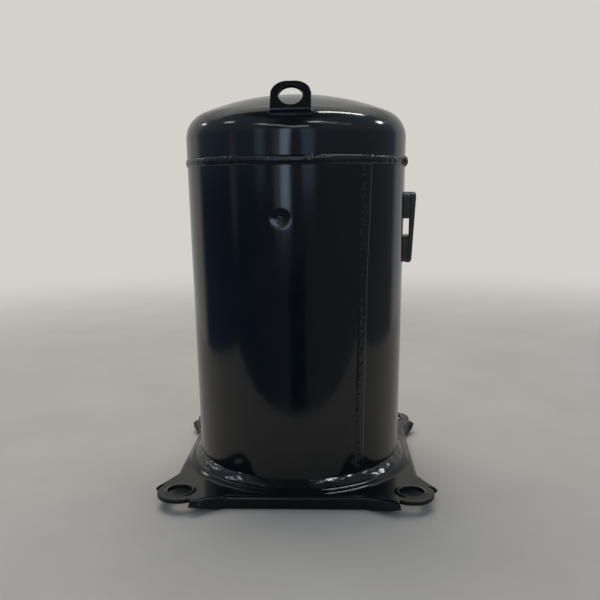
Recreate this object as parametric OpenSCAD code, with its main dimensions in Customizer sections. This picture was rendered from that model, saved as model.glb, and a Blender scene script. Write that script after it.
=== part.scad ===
// Hermetic scroll compressor: welded steel shell on a four-foot base, with its motor and scroll set.
// Z is up, the shell axis is X = Y = 0, and Z = 0 is the plane the base flanges stand on.

/* [Shell] */
// Outside diameter of the shell tube.
shell_od = 184; // [183:0.5:185]
// Wall of the shell tube.
shell_wall = 3.2; // [3:0.1:3.4]
// Height of the top of the domed cap.
cap_top = 326; // [324:0.5:330]

/* [Base] */
// Pitch of the four mounting holes, both ways.
mount_pitch = 190.5; // [188:0.5:192]
// Diameter of a mounting hole.
foot_hole_d = 20; // [18:0.5:21]
// Radius of the rounded end of a foot.
foot_r = 19; // [18:0.5:20]
// Half the width across the straight part of the turned-down sides.
base_half = 105; // [104:0.5:106]

/* [Lifting lug] */
// Width of the lifting lug.
lug_w = 30; // [28:1:34]
// Diameter of the lifting hole.
lug_hole_d = 17.5; // [15:0.5:18]

/* [Terminals and fittings] */
// Height of the terminal fence.
fence_h = 60; // [54:0.5:62]
// Diameter of a terminal pin.
pin_d = 3.2; // [3:0.1:3.4]
// Bore of the suction stub.
suction_id = 22.3; // [19.1:0.1:22.5]
// Bore of the discharge stub.
discharge_id = 12.8; // [9.6:0.1:12.9]

/* [Motor] */
// Height of the lamination stack.
stack_h = 80; // [76:1:80]
// Radial air gap between the rotor and the stator.
air_gap = 0.5; // [0.4:0.05:0.6]

/* [Scroll set] */
// Thickness of both scroll wraps.
wrap_t = 3.4; // [3.2:0.1:3.5]
// Height of both scroll wraps.
wrap_h = 18; // [17:0.1:18]

/* [Hidden] */

$fn = 96;
gap = 0.02;
weld_gap = 0.1;
run = 0.05;

shell_r = shell_od / 2;
shell_ir = shell_r - shell_wall;
shell_z0 = 15.6;
shell_z1 = 270.5;

// girth joint: shell end, partition flange and cap end, one on another
joint_h = 4;
joint_z = shell_z1 + joint_h / 2;
joint_r = shell_r - 1.8;
bevel_h = 1.5;
cap_z0 = shell_z1 + joint_h;

// domed cap: straight skirt, knuckle arc and crown arc
cap_wall = 3.5;
knuckle_r = 22;
knuckle_c = shell_r - knuckle_r;
knuckle_z = cap_top - 35;
crown_drop = cap_top - knuckle_z;
crown_r = (knuckle_c * knuckle_c + crown_drop * crown_drop - knuckle_r * knuckle_r)
    / (2 * (crown_drop - knuckle_r));
crown_a = asin(knuckle_c / (crown_r - knuckle_r));

// base stamping
sheet = 3.5;
foot_z = 12;
collar_z = 15.5;
collar_r0 = 100;
collar_r1 = 104.5;
pitch_h = mount_pitch / 2;
wing_in = 57;
wing_end = 84;
wing_out = 119.5;
wing_lift = 7;

// the lug leans back over the cap from a foot on the knuckle
lug_t = 3.2;
lug_bend_a = 45;
lug_lean = 37;
lug_len = 24.5;
lug_corner = 12;
lug_hole_s = 11.4;
lug_foot_len = 4.5;
lug_foot_turn = 4;
lug_y = -(knuckle_c + (knuckle_r + lug_t) * sin(lug_bend_a));
lug_z = knuckle_z + (knuckle_r + lug_t) * cos(lug_bend_a);

// seats on the shell, by compass angle from the front (-Y) towards the right (+X)
plug_az = [-5.4, 140, 234.6];
plug_z = 230.5;
seam_az = 38.5;
term_az = 108;
term_z = 205;
fence_z0 = 188;
fence_half = 33;
ground_z = 232;
fence_u = 96;
suction_az = 205;
suction_z = 188;
discharge_az = 160;
discharge_z = 284;
stub_wall = 1.6;

// running gear heights
thrust_z = 235.2;
orb_plate_z0 = thrust_z + run;
orb_plate_h = 7;
wrap_z0 = orb_plate_z0 + orb_plate_h;
fix_plate_z0 = wrap_z0 + wrap_h + 0.1;
fix_plate_z1 = fix_plate_z0 + 8.5;
housing_z0 = 218;
housing_z1 = 230;
rim_z1 = 237;
cavity_z = 212;
bearing_z0 = 182;
post_r = 78.5;
post_z1 = 246;
sleeve_z1 = 264;

// scroll wraps: involutes of a circle
wrap_pitch = 16;
base_circle = wrap_pitch / (2 * PI);
orbit = wrap_pitch / 2 - wrap_t - 0.1;
wrap_a0 = 3.1;
wrap_a1 = 19.4;
wrap_steps = 150;

// shaft and motor
shaft_r = 15;
rotor_seat_r = 14.5;
lower_r = 10;
pin_r = 9;
stack_z0 = 66;
stack_z1 = stack_z0 + stack_h;
bore_r = 46;
rotor_r = bore_r - air_gap;
slot_n = 24;

// place a child on the shell at a compass angle, with local +X pointing outwards
module at_az(az) {
    rotate([0, 0, az - 90]) children();
}

// a cylinder lying along local +X
module rod_x(r, x0, x1, fn = 64) {
    translate([x0, 0, 0]) rotate([0, 90, 0]) cylinder(r = r, h = x1 - x0, $fn = fn);
}

module ring(ro, ri, z0, z1) {
    difference() {
        translate([0, 0, z0]) cylinder(r = ro, h = z1 - z0);
        translate([0, 0, z0 - 1]) cylinder(r = ri, h = z1 - z0 + 2);
    }
}

// points of an arc in the radial plane, measured from straight up
function arc_pts(cr, cz, r, a0, a1, n) =
    [for (i = [0:n]) let (a = a0 + (a1 - a0) * i / n) [cr + r * sin(a), cz + r * cos(a)]];

// outer profile of the cap, shrunk inwards by d
function cap_profile(d) = concat(
    arc_pts(0, cap_top - crown_r, crown_r - d, 0, crown_a, 10),
    arc_pts(knuckle_c, knuckle_z, knuckle_r - d, crown_a + 6, 90, 12));

module cap_solid(d, z0) {
    rotate_extrude() polygon(concat(cap_profile(d), [[shell_r - d, z0], [0, z0]]));
}

// ---- welded envelope ----

module shell_tube() {
    color("#15171a") difference() {
        rotate_extrude() polygon([[shell_ir, shell_z0], [shell_r, shell_z0],
            [shell_r, shell_z1 - bevel_h], [joint_r, shell_z1], [shell_ir, shell_z1]]);
        for (az = plug_az) at_az(az) translate([0, 0, plug_z]) rod_x(5, 80, 100, 32);
        at_az(term_az) translate([0, 0, term_z]) rod_x(15.1, 70, 110);
        at_az(suction_az) translate([0, 0, suction_z])
            rod_x(suction_id / 2 + stub_wall + gap, 70, 110);
    }
}

module seam_weld() {
    bead_r = 3.6;
    bead_proud = 0.8;
    color("#1a1c1f") difference() {
        at_az(seam_az) translate([shell_r + bead_proud - bead_r, 0, 24])
            cylinder(r = bead_r, h = shell_z1 - 27, $fn = 32);
        translate([0, 0, 20]) cylinder(r = shell_r + weld_gap, h = 260);
    }
}

module plug_welds() {
    color("#1a1c1f") for (az = plug_az) at_az(az) translate([0, 0, plug_z]) difference() {
        rod_x(4.95, shell_ir + 0.1, shell_r - 0.4, 32);
        rod_x(2.4, shell_r - 1.6, shell_r + 1, 24);
    }
}

module top_cap() {
    color("#15171a") difference() {
        rotate_extrude() difference() {
            polygon(concat(cap_profile(0),
                [[shell_r, cap_z0 + bevel_h], [joint_r, cap_z0], [0, cap_z0]]));
            polygon(concat(cap_profile(cap_wall), [[shell_r - cap_wall, cap_z0 - 1], [0, cap_z0 - 1]]));
        }
        at_az(discharge_az) translate([0, 0, discharge_z])
            rod_x(discharge_id / 2 + stub_wall + gap, 70, 110);
    }
}

module girth_weld() {
    bead_h = 3.5;
    color("#1a1c1f") rotate_extrude() polygon([
        [joint_r + gap, shell_z1], [shell_r + gap, joint_z - bead_h],
        [shell_r + 0.6, joint_z - bead_h + 0.6], [shell_r + 0.95, joint_z - 1.2],
        [shell_r + 0.95, joint_z + 1.2], [shell_r + 0.6, joint_z + bead_h - 0.6],
        [shell_r + gap, joint_z + bead_h], [joint_r + gap, cap_z0]]);
}

// one eighth-turn of the base outline, from the middle of a side to the flared wing end
function wing_pts(d) = concat([[0, base_half - d], [wing_in, base_half - d]],
    [for (i = [1:8]) let (t = i / 8)
        [wing_in + (wing_end - wing_in) * t, base_half - d + (wing_out - base_half) * t * t]]);

module side_shape(d) {
    p = wing_pts(d);
    polygon(concat(p, [[wing_end, 60], [0, 60]]));
    mirror([1, 0]) polygon(concat(p, [[wing_end, 60], [0, 60]]));
}

module foot_shape() {
    rotate(45) translate([0, -foot_r]) square([pitch_h * sqrt(2), 2 * foot_r]);
    translate([pitch_h, pitch_h]) circle(r = foot_r);
}

module base_plate() {
    lip = sheet;
    color("#15171a") difference() {
        union() {
            // flat sheet with the four feet
            translate([0, 0, foot_z - sheet]) linear_extrude(sheet) difference() {
                union() {
                    for (a = [0:90:270]) rotate(a) side_shape(0);
                    for (a = [0:90:270]) rotate(a) foot_shape();
                    square(2 * 62, center = true);
                }
                circle(r = 86);
            }
            // turned-down sides, shorter towards the wing ends
            for (a = [0:90:270]) rotate([0, 0, a]) difference() {
                linear_extrude(foot_z - 1) difference() {
                    side_shape(0);
                    side_shape(lip);
                }
                for (s = [-1, 1]) translate([s * wing_in, 90, 0]) rotate([-90, 0, 0])
                    linear_extrude(40) polygon([[-s * 14, 0], [s * 29, -wing_lift],
                        [s * 29, 1], [-s * 14, 1]]);
            }
            // raised collar round the foot of the shell
            rotate_extrude() polygon([[86, foot_z - sheet], [collar_r1, foot_z - sheet],
                [collar_r1, foot_z], [collar_r0 + 3, foot_z + 1.2], [collar_r0, collar_z],
                [86, collar_z]]);
            // ridge that plugs the shell, and the dished floor inside it
            rotate_extrude() polygon([[88.6, foot_z - sheet], [88.6, 24], [87, 27], [84, 28],
                [80, 26.5], [70, 16], [30, 10.5], [0, 10], [0, 6.5], [30, 7], [69, 12.5],
                [80, 22.6], [84, 24.4], [85.1, 22.5], [85.1, foot_z - sheet]]);
            // rolled lips round the mounting holes
            for (x = [-1, 1], y = [-1, 1]) translate([x * pitch_h, y * pitch_h, 0])
                ring(foot_hole_d / 2 + 2.6, foot_hole_d / 2, foot_z - sheet, foot_z + 0.9);
        }
        for (x = [-1, 1], y = [-1, 1]) translate([x * pitch_h, y * pitch_h, -1])
            cylinder(r = foot_hole_d / 2, h = 30, $fn = 64);
    }
}

module base_weld() {
    leg = 6;
    color("#1a1c1f") rotate_extrude() polygon([[shell_r + weld_gap, collar_z + gap],
        [shell_r + leg, collar_z + gap], [shell_r + leg - 1.2, collar_z + 2.4],
        [shell_r + 2.6, collar_z + leg - 1.4], [shell_r + weld_gap, collar_z + leg]]);
}

module lug_outline() {
    shoulder = lug_len - lug_corner;
    inner = lug_w / 2 - lug_corner;
    translate([-lug_w / 2, -2]) square([lug_w, shoulder + 2]);
    for (s = [-1, 1]) translate([s * inner, shoulder]) circle(r = lug_corner);
    translate([-inner, shoulder]) square([2 * inner, lug_corner]);
}

module lug_plate() {
    translate([0, lug_y, lug_z]) rotate([-lug_lean, 0, 0]) translate([0, lug_t, 0])
        rotate([90, 0, 0]) linear_extrude(lug_t) difference() {
            lug_outline();
            translate([0, lug_hole_s]) circle(d = lug_hole_d);
        }
}

module lug_foot() {
    translate([-lug_w / 2, lug_y, lug_z]) rotate([lug_foot_turn - lug_lean, 0, 0])
        translate([0, 0, -lug_foot_len]) cube([lug_w, lug_t + 2, lug_foot_len]);
}

module lifting_lug() {
    color("#15171a") difference() {
        union() {
            lug_plate();
            lug_foot();
        }
        cap_solid(-gap, cap_z0);
    }
}

module lug_welds() {
    bead_r = 2.2;
    bead_l = 6.5;
    color("#1a1c1f") difference() {
        for (s = [-1, 1]) translate([s * lug_w / 2, lug_y, lug_z]) rotate([-lug_lean - 6, 0, 0])
            translate([0, lug_t, 1.5 - bead_l]) cylinder(r = bead_r, h = bead_l, $fn = 24);
        cap_solid(-gap, cap_z0);
        translate([-lug_w / 2 - gap, -110, 280]) cube([lug_w + 2 * gap, 60, 50]);
    }
}

// ---- terminals and fittings ----

module fence_outline(d) {
    cr = 7 - d;
    w = fence_half - d;
    h = fence_h / 2 - d;
    square([2 * h - 2 * cr, 2 * w], center = true);
    square([2 * h, 2 * w - 2 * cr], center = true);
    for (y = [-1, 1], z = [-1, 1]) translate([z * (h - cr), y * (w - cr)]) circle(r = cr, $fn = 32);
}

module terminal_fence() {
    wall = 2;
    notch_z = 211;
    notch_h = 15;
    notch_u = 92;
    color("#1a1c1f") at_az(term_az) difference() {
        translate([80, 0, fence_z0 + fence_h / 2]) rotate([0, 90, 0])
            linear_extrude(fence_u - 80) difference() {
                fence_outline(0);
                fence_outline(wall);
            }
        translate([0, 0, 150]) cylinder(r = shell_r + gap, h = 130);
        for (s = [-1, 1]) translate([70, s * fence_half - 4, notch_z])
            cube([notch_u - 70, 8, notch_h]);
    }
}

module pin_spots() {
    for (a = [0, 120, 240]) rotate([a, 0, 0]) translate([0, 0, -8.5]) children();
}

module terminal_body() {
    color("#8d8f92") at_az(term_az) translate([0, 0, term_z]) difference() {
        union() {
            rod_x(15, 84, 93.4);
            rod_x(17.5, 84, 86.9);
        }
        rod_x(12.6, 88, 95);
        pin_spots() rod_x(4, 80, 96, 32);
    }
}

module terminal_glass() {
    color("#2c5a4e") at_az(term_az) translate([0, 0, term_z]) pin_spots() difference() {
        rod_x(4 - gap, 84, 88.8, 32);
        rod_x(pin_d / 2 + gap, 80, 96, 32);
    }
}

module terminal_pins() {
    color("#c9a24a") at_az(term_az) translate([0, 0, term_z]) pin_spots() {
        rod_x(pin_d / 2, 74, 103.5, 32);
        translate([97, -0.4, -3.15]) cube([7.5, 0.8, 6.3]);
    }
}

module ground_stud() {
    color("#1a1c1f") at_az(term_az) translate([0, 0, ground_z]) difference() {
        rod_x(5.5, 90, 93.6, 32);
        rod_x(2.1, 80, 99, 32);
        translate([0, 0, -20]) cylinder(r = shell_r + weld_gap, h = 40);
    }
}

module ground_screw() {
    color("#2f7d3c") at_az(term_az) translate([0, 0, ground_z]) difference() {
        union() {
            rod_x(2, 92.2, 95, 24);
            rod_x(5.2, 93.7, 94.5, 32);
            rod_x(4.1, 94.5, 97.5, 6);
        }
        translate([96.6, -0.6, -5]) cube([2, 1.2, 10]);
    }
}

// a straight stub with a swaged collar where it meets the shell
module stub(id, inner, out, flare) {
    difference() {
        union() {
            rod_x(id / 2 + stub_wall, inner, out);
            rod_x(id / 2 + stub_wall + flare, shell_r + 1.5, shell_r + 9);
        }
        rod_x(id / 2, 70, out + 1);
    }
}

module suction_fitting() {
    color("#b87333") at_az(suction_az) translate([0, 0, suction_z])
        stub(suction_id, 84, 125.5, 2.4);
}

module discharge_fitting() {
    color("#b87333") at_az(discharge_az) translate([0, 0, discharge_z])
        stub(discharge_id, 86, 124, 0.8);
}

module braze(id, leg) {
    difference() {
        rod_x(id / 2 + stub_wall + leg, 84, shell_r + 1.4);
        rod_x(id / 2 + stub_wall + gap, 70, shell_r + 3);
    }
}

module fitting_brazes() {
    color("#c9a24a") {
        difference() {
            at_az(suction_az) translate([0, 0, suction_z]) braze(suction_id, 4.6);
            translate([0, 0, 140]) cylinder(r = shell_r + weld_gap, h = 100);
        }
        difference() {
            at_az(discharge_az) translate([0, 0, discharge_z]) braze(discharge_id, 2);
            cap_solid(-weld_gap, cap_z0 - 5);
            translate([0, 0, 260]) cylinder(r = 100, h = joint_z + 3.6 - 260);
        }
    }
}

// ---- fixed inner pieces ----

module partition() {
    color("#7b7e82") rotate_extrude() polygon([[joint_r, shell_z1 + gap], [joint_r, cap_z0 - gap],
        [86, cap_z0 - gap], [84, 277], [83, 286], [79, 292.5], [70, 294], [20, 296], [15.5, 296],
        [15.5, 288], [36, 288], [68, 288.5], [77, 287], [79, 283], [80, 275], [83, shell_z1 + gap]]);
}

module main_bearing_housing() {
    rim_ir = 84;
    neck_z = 206;
    notch_u = 91;
    notch_r = 15;
    color("#6a6d70") difference() {
        union() {
            translate([0, 0, housing_z0])
                cylinder(r = shell_ir - run, h = housing_z1 - housing_z0);
            translate([0, 0, housing_z1]) cylinder(r = 50, h = thrust_z - 1.2 - housing_z1);
            translate([0, 0, neck_z]) cylinder(r1 = 34, r2 = 42, h = housing_z0 - neck_z);
            translate([0, 0, bearing_z0]) cylinder(r = 26, h = neck_z - bearing_z0);
            ring(shell_ir - run, rim_ir, housing_z0, rim_z1);
            for (a = [45:90:315]) rotate([0, 0, a]) translate([post_r, 0, housing_z0])
                cylinder(r = 7.5, h = post_z1 - housing_z0, $fn = 48);
        }
        translate([0, 0, cavity_z]) cylinder(r = 31, h = 40);
        translate([0, 0, bearing_z0 - 1]) cylinder(r = 18, h = 40);
        for (a = [45:90:315]) rotate([0, 0, a]) translate([post_r, 0, 236])
            cylinder(r = 3 + run, h = 20, $fn = 32);
        for (a = [0, 180]) rotate([0, 0, a]) translate([50.4, -4.05, 225])
            cube([19.6, 8.1, 10]);
        // gas notches through the rim, and a shallow one over the terminals
        for (az = [175, 280]) at_az(az) translate([notch_u, 0, housing_z0 - 1])
            cylinder(r = notch_r, h = 22, $fn = 48);
        at_az(term_az) translate([notch_u, 0, housing_z0 - 1])
            cylinder(r = notch_r, h = 7, $fn = 48);
    }
}

module main_bearing() {
    color("#b8863b") ring(18 - gap, shaft_r + run, bearing_z0 + 1, cavity_z - 0.5);
}

module thrust_plate() {
    color("#9da0a3") ring(49.5, 32, thrust_z - 1.2 + gap, thrust_z);
}

module guide_bolts() {
    color("#55585c") for (a = [45:90:315]) rotate([0, 0, a]) translate([post_r, 0, 0]) {
        translate([0, 0, 238]) cylinder(r = 3, h = sleeve_z1 - 238, $fn = 32);
        translate([0, 0, sleeve_z1 + gap]) cylinder(r = 6.5, h = 1.2, $fn = 32);
        translate([0, 0, sleeve_z1 + gap]) cylinder(r = 5.2, h = 5, $fn = 6);
    }
}

module guide_sleeves() {
    color("#9da0a3") for (a = [45:90:315]) rotate([0, 0, a]) translate([post_r, 0, 0])
        ring(5, 3 + run, post_z1 + gap, sleeve_z1);
}

module counterweight_shield() {
    color("#2b2d30") difference() {
        union() {
            ring(44.8, 43.6, 157, 205.8);
            ring(44, 26.1, 204.6, 205.8);
        }
        at_az(suction_az) translate([30, -6, 196]) cube([20, 12, 4]);
    }
}

module suction_deflector() {
    half = 24;
    color("#7b7e82") at_az(suction_az) intersection() {
        union() {
            ring(82.4, 81, 173, 206);
            for (s = [-1, 1]) rotate([0, 0, s * half]) translate([81.2, -0.8, 173])
                cube([7.3, 1.6, 33]);
        }
        rotate([0, 0, -half - 1]) translate([0, 0, 170])
            rotate_extrude(angle = 2 * half + 2) translate([70, 0]) square([30, 40]);
    }
}

module lower_bearing_housing() {
    color("#6a6d70") difference() {
        union() {
            translate([0, 0, 28]) cylinder(r = 20, h = 20);
            for (a = [30, 150, 270]) rotate([0, 0, a]) {
                translate([12, -7, 31]) cube([75, 14, 7]);
                intersection() {
                    translate([82, -15, 31]) cube([7, 30, 14]);
                    translate([0, 0, 30]) cylinder(r = shell_ir - run, h = 20);
                }
            }
        }
        translate([0, 0, 27]) cylinder(r = 13, h = 30);
    }
}

module lower_bearing() {
    color("#b8863b") ring(13 - gap, lower_r + run, 28, 47.5);
}

module lower_thrust_plate() {
    color("#9da0a3") ring(17, 5.4, 25, 28 - gap);
}

module stator_core() {
    color("#5d6064") translate([0, 0, stack_z0]) linear_extrude(stack_h) difference() {
        circle(r = shell_ir - run);
        circle(r = bore_r);
        for (i = [0:slot_n - 1]) rotate(i * 360 / slot_n) {
            translate([bore_r - 1, -1.3]) square([4, 2.6]);
            translate([bore_r + 2.5, -3]) square([17, 6]);
        }
        for (az = [85, 175, 280, 0]) rotate(az - 90) translate([shell_r + 3, 0])
            circle(r = 10, $fn = 32);
    }
}

module slot_coils() {
    color("#a5562a") for (i = [0:slot_n - 1]) rotate([0, 0, i * 360 / slot_n])
        translate([bore_r + 3, -2.6, stack_z0 - 0.5]) cube([16, 5.2, stack_h + 1]);
}

// end turns of the winding: a fat rounded ring with a rib over each slot
module end_turns(z0, h) {
    r0 = bore_r + 3.4;
    r1 = 83;
    rotate_extrude() polygon([[r0, z0], [r1 - 4, z0], [r1, z0 + 4], [r1, z0 + h - 6],
        [r1 - 5, z0 + h], [r0 + 9, z0 + h], [r0, z0 + h - 9]]);
}

module winding_upper() {
    color("#a5562a") end_turns(stack_z1 + 0.55, 24);
}

module winding_lower() {
    color("#a5562a") translate([0, 0, stack_z0 - 0.55]) mirror([0, 0, 1]) end_turns(0, 18.5);
}

module motor_protector() {
    color("#3a3d40") at_az(250) translate([68, 0, stack_z1 + 24.7]) {
        cylinder(r = 9, h = 7, $fn = 48);
        translate([0, 0, 7]) cylinder(r = 6, h = 2, $fn = 48);
    }
}

module motor_leads() {
    color("#d8d2c4") at_az(term_az) for (y = [-6, 0, 6]) translate([76, y, stack_z1 + 24.7])
        cylinder(r = 1.5, h = term_z - 12.1 - stack_z1 - 24.7, $fn = 24);
}

module terminal_plug() {
    color("#2b2d30") at_az(term_az) translate([0, 0, term_z]) difference() {
        translate([72, -13, -12]) cube([11.8, 26, 24]);
        pin_spots() rod_x(pin_d / 2 + run, 73.5, 96, 32);
    }
}

module sump_magnet() {
    color("#4a4d50") translate([22, 0, 10.6]) cylinder(r = 8, h = 3.4, $fn = 48);
}

// ---- crankshaft and rotor ----

module crankshaft() {
    color("#8a8d91") difference() {
        union() {
            translate([0, 0, 28 + run]) cylinder(r = lower_r, h = 22);
            translate([0, 0, 50]) cylinder(r = rotor_seat_r - gap, h = 116);
            translate([0, 0, 166]) cylinder(r = shaft_r, h = cavity_z + 0.6 - 166);
            translate([orbit, 0, cavity_z]) cylinder(r = pin_r, h = 20.5, $fn = 64);
        }
        translate([0, 0, 20]) cylinder(r = 4.6 + gap, h = 40, $fn = 32);
        translate([orbit * 0.8, 0, 55]) cylinder(r = 2.4, h = 190, $fn = 24);
        translate([0, 0, 195]) rod_x(1.6, 0, 20, 16);
    }
}

module rotor_core() {
    color("#5d6064") translate([0, 0, stack_z0]) linear_extrude(stack_h) difference() {
        circle(r = rotor_r);
        circle(r = rotor_seat_r);
        for (i = [0:33]) rotate(i * 360 / 34) translate([rotor_r - 6.5, 0]) circle(r = 2, $fn = 16);
    }
}

module rotor_cage() {
    color("#b9bcbf") {
        ring(rotor_r - 1.5, 30, stack_z1 + gap, stack_z1 + 8);
        ring(rotor_r - 1.5, 30, stack_z0 - 8, stack_z0 - gap);
        for (i = [0:33]) rotate([0, 0, i * 360 / 34]) translate([rotor_r - 6.5, 0, stack_z0 - 4])
            cylinder(r = 2 - gap, h = stack_h + 8, $fn = 16);
    }
}

module half_ring(ro, ri, z0, z1) {
    difference() {
        ring(ro, ri, z0, z1);
        translate([0, -ro - 1, z0 - 1]) cube([ro + 1, 2 * ro + 2, z1 - z0 + 2]);
    }
}

module counterweight_upper() {
    color("#6a6d70") {
        half_ring(42, 18, stack_z1 + 8 + gap, 172);
        difference() {
            ring(29.5, rotor_seat_r + gap, stack_z1 + gap, stack_z1 + 9);
            translate([0, -40, stack_z1 - 1]) cube([40, 80, 12]);
        }
    }
}

module counterweight_lower() {
    color("#6a6d70") rotate([0, 0, 180]) half_ring(40, 24, 52.5, stack_z0 - 8 - gap);
}

module oil_pickup() {
    color("#9da0a3") {
        difference() {
            translate([0, 0, 17]) cylinder(r = 4.6, h = 23, $fn = 32);
            translate([0, 0, 16]) cylinder(r = 3.6, h = 25, $fn = 32);
        }
        translate([-3.7, -0.5, 17]) cube([7.4, 1, 23]);
    }
}

module drive_bushing() {
    color("#8a8d91") translate([orbit, 0, 0]) ring(15, pin_r + gap, cavity_z + 1.2, 232);
}

// ---- orbiting scroll ----

function flank(a, d) = [
    base_circle * (cos(a * 180 / PI) + (a - d) * sin(a * 180 / PI)),
    base_circle * (sin(a * 180 / PI) - (a - d) * cos(a * 180 / PI))];

module wrap(z0, z1) {
    d = wrap_t / 2 / base_circle;
    n = wrap_steps;
    da = (wrap_a1 - wrap_a0) / n;
    translate([0, 0, z0]) linear_extrude(z1 - z0) polygon(concat(
        [for (i = [0:n]) flank(wrap_a0 + da * i, -d)],
        [for (i = [n:-1:0]) flank(wrap_a0 + da * i, d)]));
}

module orbiting_scroll() {
    color("#8a8d91") translate([orbit, 0, 0]) {
        difference() {
            union() {
                translate([0, 0, orb_plate_z0]) cylinder(r = 62, h = orb_plate_h);
                translate([0, 0, cavity_z + 2.5]) cylinder(r = 21, h = orb_plate_z0 - cavity_z - 2);
            }
            translate([0, 0, cavity_z]) cylinder(r = 17.5, h = 21.5);
            for (a = [90, 270]) rotate([0, 0, a]) translate([50, -4.05, orb_plate_z0 - 1])
                cube([20, 8.1, 4]);
        }
        wrap(wrap_z0 - 1, wrap_z0 + wrap_h);
    }
}

module drive_bearing() {
    color("#b8863b") translate([orbit, 0, 0])
        ring(17.5 - gap, 15 + run, cavity_z + 3, 231.5);
}

// ---- oldham ring ----

module oldham_ring() {
    color("#9da0a3") translate([orbit, 0, 0]) {
        ring(62.5, 55, housing_z1 + 0.3, housing_z1 + 3.4);
        for (a = [0, 180]) rotate([0, 0, a]) translate([55.6, -4, 225.3])
            cube([7, 8, housing_z1 + 1 - 225.3]);
        for (a = [90, 270]) rotate([0, 0, a]) translate([55.6, -4, housing_z1 + 2])
            cube([6.4, 8, orb_plate_z0 - 0.3 - housing_z1 - 2]);
    }
}

// ---- non-orbiting scroll ----

module non_orbiting_scroll() {
    wall_z0 = wrap_z0 + 0.35;
    color("#7f8286") difference() {
        union() {
            rotate([0, 0, 180]) wrap(wrap_z0 + 0.1, fix_plate_z0 + 1);
            translate([0, 0, fix_plate_z0]) cylinder(r = 68, h = fix_plate_z1 - fix_plate_z0);
            ring(68, 57, wall_z0, fix_plate_z0 + 1);
            ring(56, 47.9, fix_plate_z1 - 1, 280);
            ring(24.1, 6, fix_plate_z1 - 1, 279);
            for (a = [45:90:315]) rotate([0, 0, a]) {
                translate([post_r, 0, post_z1 + 0.4]) cylinder(r = 8.6, h = 16.2, $fn = 48);
                translate([60, -8.6, post_z1 + 0.4]) cube([post_r - 60, 17.2, 16.2]);
            }
        }
        for (a = [45:90:315]) rotate([0, 0, a]) translate([post_r, 0, 240])
            cylinder(r = 5 + run, h = 30, $fn = 48);
        for (a = [0, 180]) rotate([0, 0, a]) translate([52, -13, wall_z0 - 1]) cube([20, 26, 13]);
        translate([0, 0, fix_plate_z0 - 1]) cylinder(r = 6, h = 60, $fn = 48);
        translate([33, 0, fix_plate_z0 - 2]) cylinder(r = 1.2, h = 20, $fn = 16);
    }
}

module valve_guard() {
    color("#9da0a3") {
        difference() {
            ring(13.5, 11.35, 279 + gap, 285.8);
            for (a = [0:60:300]) rotate([0, 0, a]) translate([5, -2.5, 280.2]) cube([10, 5, 3.6]);
        }
        ring(13.5, 4, 284.6, 286.2);
    }
}

// ---- discharge valve disc ----

module discharge_valve() {
    color("#b9bcbf") translate([0, 0, 279 + run]) cylinder(r = 11, h = 1.4, $fn = 64);
}

// ---- floating seal ----

module seal_lower_plate() {
    color("#7f8286") ring(47.6, 24.4, fix_plate_z1 + 1.6, 274);
}

module seal_lips() {
    color("#e4e2dc") {
        ring(47.85, 44.6, 274 + gap, 275.2);
        ring(27.6, 24.15, 274 + gap, 275.2);
    }
}

module seal_upper_plate() {
    color("#9da0a3") {
        ring(44.4, 27.8, 274 + gap, 278);
        ring(33, 28.4, 277, 286.6);
    }
}

shell_tube();
seam_weld();
plug_welds();
top_cap();
girth_weld();
base_plate();
base_weld();
lifting_lug();
lug_welds();
terminal_fence();
terminal_body();
terminal_glass();
terminal_pins();
ground_stud();
ground_screw();
suction_fitting();
discharge_fitting();
fitting_brazes();
partition();
main_bearing_housing();
main_bearing();
thrust_plate();
guide_bolts();
guide_sleeves();
counterweight_shield();
suction_deflector();
lower_bearing_housing();
lower_bearing();
lower_thrust_plate();
stator_core();
slot_coils();
winding_upper();
winding_lower();
motor_protector();
motor_leads();
terminal_plug();
sump_magnet();
crankshaft();
rotor_core();
rotor_cage();
counterweight_upper();
counterweight_lower();
oil_pickup();
drive_bushing();
orbiting_scroll();
drive_bearing();
oldham_ring();
non_orbiting_scroll();
valve_guard();
discharge_valve();
seal_lower_plate();
seal_lips();
seal_upper_plate();
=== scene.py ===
from math import asin, atan2, cos, degrees, exp, hypot, pi, radians, sin, sqrt

import bmesh
import bpy
from mathutils import Matrix, Vector, geometry, kdtree, noise


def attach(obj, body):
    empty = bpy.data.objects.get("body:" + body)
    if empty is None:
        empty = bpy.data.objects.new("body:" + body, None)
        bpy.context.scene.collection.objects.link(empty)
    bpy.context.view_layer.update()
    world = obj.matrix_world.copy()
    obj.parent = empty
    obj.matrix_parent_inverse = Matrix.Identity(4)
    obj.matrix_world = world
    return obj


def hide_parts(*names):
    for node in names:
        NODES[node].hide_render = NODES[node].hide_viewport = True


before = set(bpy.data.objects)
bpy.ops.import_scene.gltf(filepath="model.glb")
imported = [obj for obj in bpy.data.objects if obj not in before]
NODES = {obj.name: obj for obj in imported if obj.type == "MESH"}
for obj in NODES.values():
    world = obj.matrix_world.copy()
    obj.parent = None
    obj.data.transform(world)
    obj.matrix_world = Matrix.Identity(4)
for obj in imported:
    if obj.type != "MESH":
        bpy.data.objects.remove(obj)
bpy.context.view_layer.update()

MM = 0.001
scene = bpy.context.scene

# ---- helpers


def smooth(x, a, b):
    """0 before a, 1 after b, smooth between."""
    t = min(1.0, max(0.0, (x - a) / (b - a)))
    return t * t * (3 - 2 * t)


def band(x, a, b, c, d):
    """1 from b to c, smooth to 0 at a and d."""
    return smooth(x, a, b) * (1 - smooth(x, c, d))


def bumps(x, y, z, scale, seed=0.0):
    """Smooth noise from about -1 to 1, with features scale millimetres wide."""
    return noise.noise(Vector((x / scale + seed, y / scale - seed, z / scale + 0.37 * seed)))


def add_object(name, data):
    obj = bpy.data.objects.new(name, data)
    scene.collection.objects.link(obj)
    return obj


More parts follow.
